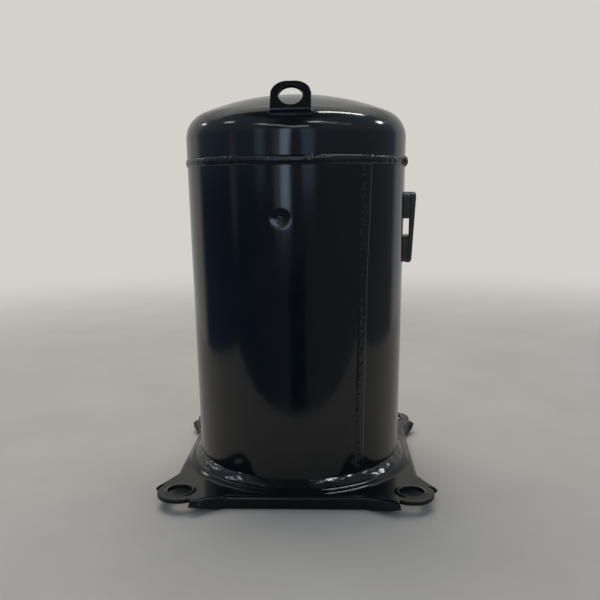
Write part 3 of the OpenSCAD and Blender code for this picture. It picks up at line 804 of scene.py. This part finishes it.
def build_fence():
    c = 4.0
    loop = []
    for sx, sz, a0 in ((1, 1, 0), (-1, 1, 90), (-1, -1, 180), (1, -1, 270)):
        loop += arc(sx * (FENCE_HALF - c), FENCE_MID + sz * (FENCE_H / 2 - c), c, a0, a0 + 90, 12)
    outer = resample(loop, 1.6)
    n = len(outer)
    # (distance in from the outline, part of the way out from the shell)
    levels = [(0.6, 0.0), (0.6, 0.35), (0.6, 0.58), (0.35, 0.60), (0.0, 0.62), (0.0, 0.80), (0.0, 0.95),
              (0.10, 0.985), (0.4, 1.0), (1.7, 1.0), (2.0, 0.985), (2.1, 0.95), (2.1, 0.5), (2.1, 0.0)]
    verts = []
    for i in range(n):
        (x0, z0), (x1, z1) = outer[i - 1], outer[(i + 1) % n]
        tx, tz = x1 - x0, z1 - z0
        length = hypot(tx, tz)
        nx, nz = -tz / length, tx / length
        for d, f in levels:
            t, z = outer[i][0] + nx * d, outer[i][1] + nz * d
            foot = face_at(t) + 0.02
            lean = 1.5 * (z - FENCE_Z0 - FENCE_H / 2) / (FENCE_H / 2)
            verts.append(at_az(TERM_AZ, foot + (FENCE_OUT + lean - foot) * f, t, z))
    faces = grid_faces(n, len(levels), True, True)
    obj = make("terminal_fence_frame", verts, faces, "terminal_fence")
    slots = []
    for s in (-1, 1):
        t0, t1 = s * FENCE_HALF - 4, s * FENCE_HALF + 4
        corners = [at_az(TERM_AZ, r, t, z) for r in (NOTCH_IN, NOTCH_OUT) for t in (t0, t1) for z in NOTCH_Z]
        sides = [(0, 1, 3, 2), (4, 6, 7, 5), (0, 4, 5, 1), (2, 3, 7, 6), (0, 2, 6, 4), (1, 5, 7, 3)]
        slots.append((corners, sides))
    cut(obj, *slots)
    return obj


def build_fence_tacks():
    """Four short welds that hold the fence on the shell."""
    verts, faces = [], []
    rows, cols = 9, 25
    last = (rows - 1) * cols
    rim = (list(range(cols)) + [j * cols + cols - 1 for j in range(1, rows)]
           + [last + i for i in range(cols - 2, -1, -1)] + [j * cols for j in range(rows - 2, 0, -1)])
    ends = ((FENCE_Z0 + 0.2, -1), (FENCE_Z0 + FENCE_H - 0.2, 1))
    spots = [(t0, z0, side) for z0, side in ends for t0 in (-TACK_AT, TACK_AT)]
    for n, (t0, z0, side) in enumerate(spots):
        face, back = [], []
        for j in range(rows):
            v = -1 + 2 * j / (rows - 1)
            for i in range(cols):
                u = -1 + 2 * i / (cols - 1)
                t, z = t0 + TACK_HALF * u, z0 + side * 0.9 + 2.0 * v
                body = max(0.0, 1 - u ** 6) * max(0.0, 1 - v * v)
                high = 1.5 * body * (1 + 0.3 * bumps(t, z, n * 5.0, 1.8, 2.0)) - 0.25 * (1 - body)
                face.append(at_az(TERM_AZ, face_at(t) + high, t, z))
                back.append(at_az(TERM_AZ, face_at(t) - 0.5, t, z))
        base, under = len(verts), len(verts) + len(face)
        verts += face + back
        faces += shifted(grid_faces(rows, cols), base) + shifted(grid_faces(rows, cols), under)
        for a, b in zip(rim, rim[1:] + rim[:1]):
            faces.append((base + a, base + b, under + b, under + a))
    return make("terminal_fence_tacks", verts, faces, "terminal_fence", replaces=False)


# ---- tube stubs and brazed joints

def stub_profile(inner_d, out, bead, inner):
    """Closed profile of a stub with a raised bead, as (radius, distance from the shell's axis)."""
    r0 = inner_d / 2
    r1 = r0 + STUB_WALL
    prof = [(r0, inner), (r1, inner), (r1, 88), (r1, 92.8)]
    prof += [(r1 + bead * sin(pi * f) ** 0.6, BEAD_OUT + BEAD_LEN * f) for f in (i / 12 for i in range(13))]
    prof += [(r1, 103), (r1, out - 8), (r1 + 0.12, out - 7.6), (r1 + 0.12, out - 7.0), (r1, out - 6.6)]
    prof += [(r1, out - 0.9), (r1 - 0.25, out - 0.25), (r1 - 0.6, out), (r0 + 0.45, out)]
    return prof + [(r0 + 0.12, out - 0.2), (r0, out - 0.7), (r0, out - 10)]


def build_stub(name, node, az, z0, inner_d, out, bead, inner):
    def shift(phi, k, rad, dist):
        wave = 0.03 * bumps(3 * cos(phi), 3 * sin(phi), dist, 6, 2.0)
        return rad + (wave if rad > inner_d / 2 + 0.9 else 0), dist

    verts, faces = turned(stub_profile(inner_d, out, bead, inner), az, z0, 128, shift)
    return make(name, verts, faces, node, sharp=35)


def build_brazes():
    verts, faces = [], []
    for az, z0, inner_d, leg, high, seed in ((SUCTION_AZ, SUCTION_Z, SUCTION_ID, 4.4, 2.6, 1.0),
                                             (DISCHARGE_AZ, DISCHARGE_Z, DISCHARGE_ID, 2.5, 2.4, 6.0)):
        base = len(verts)
        n, m = 160, 14
        rad0 = inner_d / 2 + STUB_WALL + 0.02
        for i in range(n):
            phi = 2 * pi * i / n
            c, s = cos(phi), sin(phi)
            reach = leg * (1 + 0.14 * bumps(6 * c, 6 * s, 0, 3.2, seed))
            rise = high * (1 + 0.18 * bumps(6 * c, 6 * s, 4, 2.6, seed + 3))
            if az == DISCHARGE_AZ and s < 0:
                reach = min(reach, 1.9)
            for k in range(m):
                t = k / (m - 1)
                rad = rad0 + reach * t ** 1.25
                lift = rise * (1 - t) ** 1.5 - 0.12
                lump = 0.16 * bumps(rad * c, rad * s, t * 4, 1.9, seed + 2) * sin(pi * t)
                face = sqrt(max(1.0, SHELL_R ** 2 - (rad * c) ** 2))
                if az == DISCHARGE_AZ:
                    zz = z0 + rad * s
                    if zz > KNUCKLE_Z:
                        drop = KNUCKLE_R - sqrt(max(0.0, KNUCKLE_R ** 2 - (zz - KNUCKLE_Z) ** 2))
                        face = sqrt((SHELL_R - drop) ** 2 - (rad * c) ** 2)
                verts.append(at_az(az, face + lift + lump, rad * c, z0 + rad * s))
            verts.append(at_az(az, sqrt(SHELL_R ** 2 - (rad0 * c) ** 2) - 0.8, rad0 * c, z0 + rad0 * s))
        faces += shifted(grid_faces(n, m + 1, True, True), base)
    return make("brazed_rings", verts, faces, "fitting_brazes")


# ---- materials


class Nodes:
    """A short way to write a node tree."""

    def __init__(self, tree):
        self.tree = tree
        tree.nodes.clear()

    def put(self, socket, value):
        """Links a node's output to a socket, or sets a constant on it."""
        if isinstance(value, bpy.types.NodeSocket):
            self.tree.links.new(value, socket)
        else:
            socket.default_value = value

    def add(self, kind, ins=None, **settings):
        node = self.tree.nodes.new(kind)
        for key, value in settings.items():
            setattr(node, key, value)
        for name, value in (ins or {}).items():
            self.put(node.inputs[name], value)
        return node

    def math(self, op, a, b=0.0):
        return self.add("ShaderNodeMath", {0: a, 1: b}, operation=op).outputs[0]

    def times(self, a, b):
        return self.math("MULTIPLY", a, b)

    def noise(self, vec, scale, detail, rough=0.5, distort=0.0):
        ins = {"Vector": vec, "Scale": scale, "Detail": detail, "Roughness": rough, "Distortion": distort}
        return self.add("ShaderNodeTexNoise", ins).outputs["Fac"]

    def range(self, x, a, b, lo=0.0, hi=1.0):
        """x from a to b, smoothly turned into lo to hi."""
        ins = {"Value": x, "From Min": a, "From Max": b, "To Min": lo, "To Max": hi}
        return self.add("ShaderNodeMapRange", ins, interpolation_type="SMOOTHSTEP").outputs["Result"]

    def mix(self, fac, a, b):
        """Colour a where fac is 0, b where it is 1."""
        a, b = (v if isinstance(v, bpy.types.NodeSocket) else (*v, 1.0) for v in (a, b))
        return self.add("ShaderNodeMix", {0: fac, 6: a, 7: b}, data_type="RGBA").outputs[2]

    def bump(self, height, strength, distance, normal=None):
        ins = {"Height": height, "Strength": strength, "Distance": distance}
        if normal is not None:
            ins["Normal"] = normal
        return self.add("ShaderNodeBump", ins).outputs["Normal"]

    def blend(self, fac, a, b, output):
        """Ends the tree in shader a where fac is 0, b where it is 1."""
        mixed = self.add("ShaderNodeMixShader", {0: fac, 1: a.outputs[0], 2: b.outputs[0]})
        self.add(output, {"Surface": mixed.outputs[0]})


def material(name):
    """A material, its node maker, object coordinates, and a call that sets an input of its shader."""
    mat = bpy.data.materials.new(name)
    mat.use_nodes = True
    n = Nodes(mat.node_tree)
    coord = n.add("ShaderNodeTexCoord").outputs["Object"]
    bsdf = n.add("ShaderNodeBsdfPrincipled")
    n.add("ShaderNodeOutputMaterial", {"Surface": bsdf.outputs[0]})
    return mat, n, coord, lambda socket, value: n.put(bsdf.inputs[socket], value)


def gloss_paint(name, dull=0.0, peel=0.10, lumps=0.0, dust=1.0, grey=0.0, ior=1.5):
    """Stoved gloss black enamel: orange peel, faint waves, dust nibs, and a film of dust on what faces up."""
    mat, n, coord, give = material(name)
    big = n.noise(coord, 22, 3, 0.55)
    fine = n.noise(coord, 420, 2)
    mid = n.noise(coord, 110, 2)
    normal = n.add("ShaderNodeNewGeometry").outputs["Normal"]
    up = n.add("ShaderNodeSeparateXYZ", {"Vector": normal}).outputs["Z"]
    lies = n.range(up, 0.35, 0.95)
    speck = n.range(n.noise(coord, 1500, 1), 0.66, 0.74)
    film = n.times(lies, n.range(n.noise(coord, 60, 4, 0.65), 0.35, 0.75, 0.15, 1.0))
    body = n.mix(n.range(big, 0.35, 0.65), (0.0030, 0.0038, 0.0046), (0.0046, 0.0054, 0.0062))
    dusty = n.math("ADD", n.times(film, 0.014 * dust), grey)
    body = n.mix(dusty, body, (0.32, 0.31, 0.29))
    body = n.mix(n.times(speck, 0.05), body, (0.30, 0.29, 0.27))
    give("Base Color", body)
    rough = n.range(big, 0.3, 0.7, 0.085 + dull, 0.125 + dull)
    give("Roughness", n.math("ADD", rough, n.times(film, 0.03 * dust)))
    give("IOR", ior)
    nib = n.range(n.noise(coord, 700, 0), 0.70, 0.80)
    height = n.math("ADD", n.times(fine, 0.35), n.times(mid, 1.0))
    height = n.math("ADD", height, n.times(nib, 0.5))
    normal = n.bump(height, peel, 0.00012)
    if lumps:
        normal = n.bump(n.noise(coord, 900, 3, 0.6), lumps, 0.0002, normal)
    give("Normal", normal)
    return mat


def bare_metal(name, colour, other, rough, scale, stretch=(1, 1, 1), bump=0.15, tarnish=0.4,
               dark=(0.03, 0.025, 0.02)):
    """Machined, cast or plated metal: brushed or grainy relief, uneven tone and some tarnish."""
    mat, n, coord, give = material(name)
    vec = n.add("ShaderNodeMapping", {"Vector": coord, "Scale": stretch}).outputs[0]
    grain = n.noise(vec, scale, 4, 0.6)
    cloud = n.noise(coord, 45, 4, 0.6, 0.4)
    spots = n.range(n.noise(coord, 160, 3, 0.65), 0.55, 0.75)
    tone = n.mix(n.range(cloud, 0.3, 0.7), colour, other)
    tone = n.mix(n.times(spots, tarnish), tone, dark)
    give("Base Color", tone)
    give("Metallic", 1.0)
    rough = n.range(grain, 0.2, 0.8, rough - 0.08, rough + 0.10)
    give("Roughness", n.math("ADD", rough, n.times(spots, 0.15)))
    give("Normal", n.bump(grain, bump, 0.00015))
    return mat


def laminated(name, colour, other):
    """A stack of punched steel sheets, half a millimetre each."""
    mat, n, coord, give = material(name)
    z = n.add("ShaderNodeSeparateXYZ", {"Vector": coord}).outputs["Z"]
    line = n.math("ABSOLUTE", n.math("SUBTRACT", n.math("FRACT", n.times(z, 2000.0)), 0.5))
    grain = n.noise(coord, 90, 4, 0.6)
    give("Base Color", n.mix(n.range(grain, 0.3, 0.7), colour, other))
    give("Metallic", 0.9)
    give("Roughness", n.range(grain, 0.3, 0.7, 0.35, 0.55))
    give("Normal", n.bump(n.range(line, 0.30, 0.48), 0.5, 0.0001))
    return mat


def wound(name):
    """Enamelled copper wire laid round, with painted shade darkening the grooves between its turns."""
    mat, n, coord, give = material(name)
    ins = {"Vector": coord, "Scale": 330.0, "Distortion": 2.2, "Detail": 2.0, "Detail Scale": 1.4}
    wave = n.add("ShaderNodeTexWave", ins, wave_type="RINGS", rings_direction="Z").outputs["Fac"]
    tone = n.noise(coord, 70, 3, 0.6)
    colour = n.mix(n.range(tone, 0.3, 0.7), (0.36, 0.11, 0.035), (0.55, 0.21, 0.07))
    # painted shade: the grooves between the wire turns are darkened in the colour itself
    colour = n.mix(n.range(wave, 0.0, 0.35, 0.7, 0.0), colour, (0.06, 0.02, 0.01))
    give("Base Color", colour)
    give("Metallic", 0.6)
    give("Roughness", n.range(tone, 0.2, 0.8, 0.25, 0.42))
    give("Normal", n.bump(wave, 0.6, 0.0004))
    return mat


def moulded(name, colour, other, rough, grain_scale=600.0, bump=0.12):
    """Plastic, rubber, paper or ceramic: fine moulded grain and a slightly uneven tone."""
    mat, n, coord, give = material(name)
    tone = n.noise(coord, 80, 3, 0.6)
    grain = n.noise(coord, grain_scale, 3, 0.6)
    give("Base Color", n.mix(n.range(tone, 0.3, 0.7), colour, other))
    give("Roughness", n.range(grain, 0.2, 0.8, rough - 0.06, rough + 0.08))
    give("Normal", n.bump(grain, bump, 0.0001))
    return mat


def glassy(name, colour, other):
    """Fused sealing glass: deep green, glossy, with small bubbles."""
    mat, n, coord, give = material(name)
    cells = n.add("ShaderNodeTexVoronoi", {"Vector": coord, "Scale": 900.0}).outputs["Distance"]
    bubbles = n.range(cells, 0.10, 0.22)
    give("Base Color", n.mix(bubbles, other, colour))
    give("Roughness", n.range(n.noise(coord, 200, 2), 0.3, 0.7, 0.05, 0.12))
    give("Normal", n.bump(bubbles, 0.2, 0.0001))
    return mat


PAINT = gloss_paint("gloss_black_enamel")
WELD = gloss_paint("gloss_black_over_weld", dull=0.03, peel=0.08, lumps=0.03, dust=0.25)
STAMPED = gloss_paint("gloss_black_on_stamping", dull=0.02, peel=0.12, dust=0.5, ior=1.34)
SATIN = gloss_paint("satin_black_overspray", dull=0.26, peel=0.12, dust=1.0, grey=0.09)
COPPER = bare_metal("copper_plate", (0.72, 0.32, 0.17), (0.60, 0.24, 0.12), 0.28, 260.0, (1, 1, 0.15),
                    tarnish=0.35, dark=(0.12, 0.045, 0.02))
BRAZE = bare_metal("silver_braze", (0.62, 0.50, 0.30), (0.50, 0.36, 0.18), 0.30, 300.0, tarnish=0.5,
                   dark=(0.09, 0.06, 0.03))
STEEL = bare_metal("machined_steel", (0.52, 0.52, 0.51), (0.42, 0.42, 0.42), 0.25, 90.0, (1, 1, 14))
PLAIN = bare_metal("pressed_steel", (0.40, 0.40, 0.40), (0.33, 0.33, 0.34), 0.36, 180.0)
IRON = bare_metal("cast_iron", (0.19, 0.19, 0.19), (0.13, 0.13, 0.13), 0.55, 420.0, bump=0.4)
ALLOY = bare_metal("cast_aluminium", (0.66, 0.66, 0.65), (0.56, 0.56, 0.56), 0.38, 300.0, bump=0.25)
BRONZE = bare_metal("bearing_bronze", (0.50, 0.33, 0.14), (0.42, 0.26, 0.10), 0.30, 90.0, (1, 1, 12))
TIN = bare_metal("plated_pin", (0.70, 0.66, 0.55), (0.62, 0.58, 0.48), 0.22, 240.0)
STACK = laminated("lamination_stack", (0.26, 0.27, 0.29), (0.20, 0.21, 0.23))
WIRE = wound("magnet_wire")
GLASS = glassy("sealing_glass", (0.03, 0.09, 0.07), (0.10, 0.20, 0.16))
GREEN = moulded("green_zinc_screw", (0.02, 0.16, 0.05), (0.015, 0.11, 0.035), 0.32)
BLACK = moulded("black_moulding", (0.02, 0.02, 0.021), (0.012, 0.012, 0.013), 0.5)
SLEEVE = moulded("lead_sleeving", (0.62, 0.58, 0.50), (0.52, 0.48, 0.40), 0.6, grain_scale=1200.0, bump=0.3)
SEAL = moulded("filled_polymer_seal", (0.42, 0.40, 0.34), (0.34, 0.32, 0.27), 0.42)
MAGNET = moulded("ferrite_magnet", (0.035, 0.035, 0.037), (0.022, 0.022, 0.024), 0.6)

SUCTION = ("suction_stub_tube", "suction_fitting",
           SUCTION_AZ, SUCTION_Z, SUCTION_ID, 125.5, 2.2, 84)
DISCHARGE = ("discharge_stub_tube", "discharge_fitting",
             DISCHARGE_AZ, DISCHARGE_Z, DISCHARGE_ID, 124, 0.9, 86)
for piece, mat in ((build_shell(), PAINT), (build_plugs(), WELD), (build_cap(), PAINT), (build_girth(), WELD),
                   (build_seam(), WELD), (build_base_weld(), WELD), (build_base(), STAMPED),
                   (build_lug(), PAINT), (build_lug_welds(), WELD), (build_fence(), SATIN),
                   (build_fence_tacks(), WELD), (build_stub(*SUCTION), COPPER),
                   (build_stub(*DISCHARGE), COPPER), (build_brazes(), BRAZE)):
    piece.data.materials.clear()
    piece.data.materials.append(mat)

# the CAD nodes that stay, by their material
KEPT = (
    (PAINT, "ground_stud"),
    (STEEL, "thrust_plate guide_bolts guide_sleeves lower_thrust_plate crankshaft drive_bushing"),
    (STEEL, "discharge_valve"),
    (PLAIN, "terminal_body partition counterweight_shield suction_deflector oil_pickup valve_guard"),
    (PLAIN, "seal_upper_plate"),
    (IRON, "main_bearing_housing lower_bearing_housing counterweight_upper counterweight_lower"),
    (IRON, "orbiting_scroll non_orbiting_scroll seal_lower_plate"),
    (ALLOY, "rotor_cage oldham_ring"),
    (BRONZE, "main_bearing lower_bearing drive_bearing"),
    (TIN, "terminal_pins"),
    (STACK, "stator_core rotor_core"),
    (WIRE, "slot_coils winding_upper winding_lower"),
    (GLASS, "terminal_glass"),
    (GREEN, "ground_screw"),
    (BLACK, "motor_protector terminal_plug"),
    (SLEEVE, "motor_leads"),
    (SEAL, "seal_lips"),
    (MAGNET, "sump_magnet"),
)
for mat, names in KEPT:
    for name in names.split():
        data = NODES[name].data
        if not data.materials:
            data.materials.append(mat)
        for i in range(len(data.materials)):
            data.materials[i] = mat

# ---- floor, light and camera

PALE = (0.66, 0.635, 0.60, 1.0)
TABLE_X0, TABLE_X1, TABLE_Y0, TABLE_Y1 = -0.57, 0.63, -0.32, 6.0
FLOOR_END = 9.0


def floor_material():
    """Pale and matt near the object, melting into the backdrop's even tone further out."""
    mat = bpy.data.materials.new("pale_floor")
    mat.use_nodes = True
    n = Nodes(mat.node_tree)
    coord = n.add("ShaderNodeTexCoord").outputs["Object"]
    xyz = n.add("ShaderNodeSeparateXYZ", {"Vector": coord})
    squares = [n.math("POWER", xyz.outputs[axis], 2.0) for axis in "XY"]
    far = n.math("SQRT", n.math("ADD", *squares))
    tone = n.noise(coord, 9, 4, 0.55)
    colour = n.mix(n.range(tone, 0.3, 0.7), (0.595, 0.555, 0.505), (0.63, 0.59, 0.54))
    diffuse = n.add("ShaderNodeBsdfDiffuse", {"Color": colour})
    glow = n.add("ShaderNodeEmission", {"Color": PALE, "Strength": 1.0})
    n.blend(n.range(far, 0.55, 1.6), diffuse, glow, "ShaderNodeOutputMaterial")
    return mat


def plane(name, x0, x1, y0, y1):
    mesh = bpy.data.meshes.new(name)
    mesh.from_pydata([(x0, y0, 0.0), (x1, y0, 0.0), (x1, y1, 0.0), (x0, y1, 0.0)], [], [(0, 1, 2, 3)])
    mesh.materials.append(FLOOR)
    obj = add_object(name, mesh)
    return obj


FLOOR = floor_material()
plane("floor_near", TABLE_X0, TABLE_X1, TABLE_Y0, TABLE_Y1)
# the floor goes on all round, but the table that the paint mirrors ends at the near floor's edge
for k, (x0, x1, y0, y1) in enumerate(((-FLOOR_END, FLOOR_END, -FLOOR_END, TABLE_Y0),
                                      (-FLOOR_END, TABLE_X0, TABLE_Y0, TABLE_Y1),
                                      (TABLE_X1, FLOOR_END, TABLE_Y0, TABLE_Y1),
                                      (-FLOOR_END, FLOOR_END, TABLE_Y1, FLOOR_END))):
    plane(f"floor_far_{k}", x0, x1, y0, y1).visible_glossy = False

CEILING_Z = 2.0
STRIP_FADE = (14, 26)

# the world: azimuth in degrees from the front, right positive, and elevation
world = bpy.data.worlds.new("studio")
scene.world = world
world.use_nodes = True
n = Nodes(world.node_tree)
direction = n.add("ShaderNodeTexCoord").outputs["Generated"]
wx, wy, wz = n.add("ShaderNodeSeparateXYZ", {"Vector": direction}).outputs
azimuth = n.times(n.math("ARCTAN2", wx, n.times(wy, -1.0)), 180 / pi)
elevation = n.times(n.math("ARCSINE", wz), 180 / pi)
side = n.range(azimuth, -70, 70)
room = n.mix(side, (0.045, 0.085, 0.14), (0.14, 0.15, 0.175))
room = n.mix(n.range(elevation, -0.5, 3.5), room, n.mix(side, (0.14, 0.21, 0.28), (0.18, 0.20, 0.25)))
room = n.mix(n.range(elevation, 6, 24), room, (0.25, 0.32, 0.39))
room = n.mix(n.range(elevation, 52, 66), room, (0.07, 0.085, 0.11))
back = n.math("MAXIMUM", n.range(azimuth, 119, 131), n.range(n.times(azimuth, -1.0), 110, 122))
cloth = n.mix(n.range(elevation, 32, 50), (0.52, 0.52, 0.50), (1.05, 1.03, 1.0))
colour = n.mix(back, room, cloth)


def window(centre, half, soft, el0, el1, rgb):
    """A soft upright light strip round an azimuth. It rises between el0 and el1, and fades above."""
    off = n.math("ABSOLUTE", n.math("SUBTRACT", azimuth, centre))
    across = n.range(off, half, half + soft, 1.0, 0.0)
    up = n.times(n.range(elevation, el0, el1), n.range(elevation, *STRIP_FADE, 1.0, 0.0))
    return n.times(across, up), rgb


for fac, rgb in (window(-9.0, 2.4, 4.5, -3.4, -1.6, (1.75, 2.20, 2.9)),
                 window(14.5, 3.0, 6.0, -2.0, 1.5, (0.50, 0.66, 0.95)),
                 window(-34.0, 2.0, 5.0, -1.0, 4.0, (0.50, 0.72, 1.05)),
                 window(-64.5, 1.8, 4.0, -7.0, 1.0, (0.27, 0.29, 0.36)),
                 window(-17.5, 0.8, 3.0, -4.5, -2.5, (0.42, 0.50, 0.58))):
    colour = n.mix(fac, colour, rgb)
off = n.math("ABSOLUTE", n.math("SUBTRACT", azimuth, 2.0))
dark = n.times(n.range(off, 6.0, 11.0, 1.0, 0.0), n.range(elevation, -7.5, -3.5, 1.0, 0.0))
colour = n.mix(dark, colour, (0.012, 0.04, 0.07))
off = n.math("ABSOLUTE", azimuth)
high = n.times(n.range(off, 16.0, 34.0, 1.0, 0.0), n.range(elevation, 14, 28))
colour = n.mix(high, colour, (0.06, 0.075, 0.09))
lamp = n.add("ShaderNodeBackground", {"Color": colour, "Strength": 1.0})
seen = n.add("ShaderNodeBackground", {"Color": PALE, "Strength": 1.0})
n.blend(n.add("ShaderNodeLightPath").outputs["Is Camera Ray"], lamp, seen, "ShaderNodeOutputWorld")


def area_light(name, size, size_y, power):
    """A rectangular lamp that the camera doesn't see."""
    data = bpy.data.lights.new(name, "AREA")
    data.shape = "RECTANGLE"
    data.size, data.size_y = size, size_y
    data.energy = power
    obj = add_object(name, data)
    obj.visible_camera = False
    return obj


def soft_light(name, at, to, size, power, colour):
    """A square soft light, not mirrored in the paint."""
    obj = area_light(name, size, size, power)
    obj.data.color = colour
    obj.location = at
    obj.rotation_mode = "QUATERNION"
    obj.rotation_quaternion = (Vector(to) - Vector(at)).to_track_quat("-Z", "Y")
    obj.visible_glossy = False


def ceiling_tube(name, a, b, width, radiance):
    """A lit ceiling tube, seen only in the paint, as a bright strip from a to b."""
    a, b = Vector((*a, CEILING_Z)), Vector((*b, CEILING_Z))
    length = (b - a).length
    obj = area_light(name, length, width, radiance * pi * length * width)
    x = (b - a).normalized()
    z = ((a + b) / 2 - Vector((0, 0, 0.3))).normalized()
    y = z.cross(x).normalized()
    z = x.cross(y)
    obj.matrix_world = Matrix.Translation((a + b) / 2) @ Matrix((x, y, z)).transposed().to_4x4()
    obj.visible_diffuse = False


soft_light("overhead_softbox", (-0.25, 0.75, 1.9), (0, 0.2, 0), 1.6, 13, (1.0, 0.985, 0.96))
soft_light("front_fill", (0.5, -1.9, 1.5), (0, 0, 0.15), 1.2, 2.4, (0.98, 0.985, 1.0))
for number, a, b, width, radiance in ((1, (0.42, -0.12), (1.38, 0.55), 0.10, 30.0),
                                      (2, (0.62, -1.80), (1.02, -1.62), 0.12, 13.0),
                                      (3, (1.02, -1.64), (1.90, -1.60), 0.10, 4.0),
                                      (8, (2.60, 0.80), (2.90, 1.20), 0.24, 34.0),
                                      (9, (-1.45, -1.80), (-0.20, -3.60), 0.20, 3.2),
                                      (10, (-0.20, -3.72), (0.95, -3.22), 0.26, 4.2),
                                      (4, (-2.30, -0.14), (-1.95, -0.54), 0.16, 7.0),
                                      (5, (-3.03, 1.9), (-3.05, 1.4), 0.22, 6.0),
                                      (6, (-1.75, -1.70), (-1.15, -1.93), 0.12, 1.8),
                                      (7, (2.28, -1.58), (2.55, -1.24), 0.14, 2.2)):
    ceiling_tube(f"ceiling_tube_{number}", a, b, width, radiance)

# the fitted camera: the photograph's frame and focal length in pixels, and the row of its optical centre
FRAME_PX, FOCAL_PX, CENTRE_ROW = 600, 691.3, 380
SENSOR = 36.0
CAMERA_AT = (0.0276, -0.6177, 0.2544)
YAW, PITCH_DOWN, ROLL = radians(2.459), 15.726, -0.01103
camera = bpy.data.cameras.new("camera")
camera.sensor_width = SENSOR
camera.lens = FOCAL_PX / FRAME_PX * SENSOR
camera.shift_y = (CENTRE_ROW - FRAME_PX / 2) / FRAME_PX
camera.clip_start, camera.clip_end = 0.01, 60.0
cam = add_object("camera", camera)
cam.matrix_world = (Matrix.Translation(CAMERA_AT) @ Matrix.Rotation(YAW, 4, "Z")
                    @ Matrix.Rotation(radians(90 - PITCH_DOWN), 4, "X") @ Matrix.Rotation(ROLL, 4, "Z"))
scene.camera = cam
scene.view_settings.view_transform = "Standard"
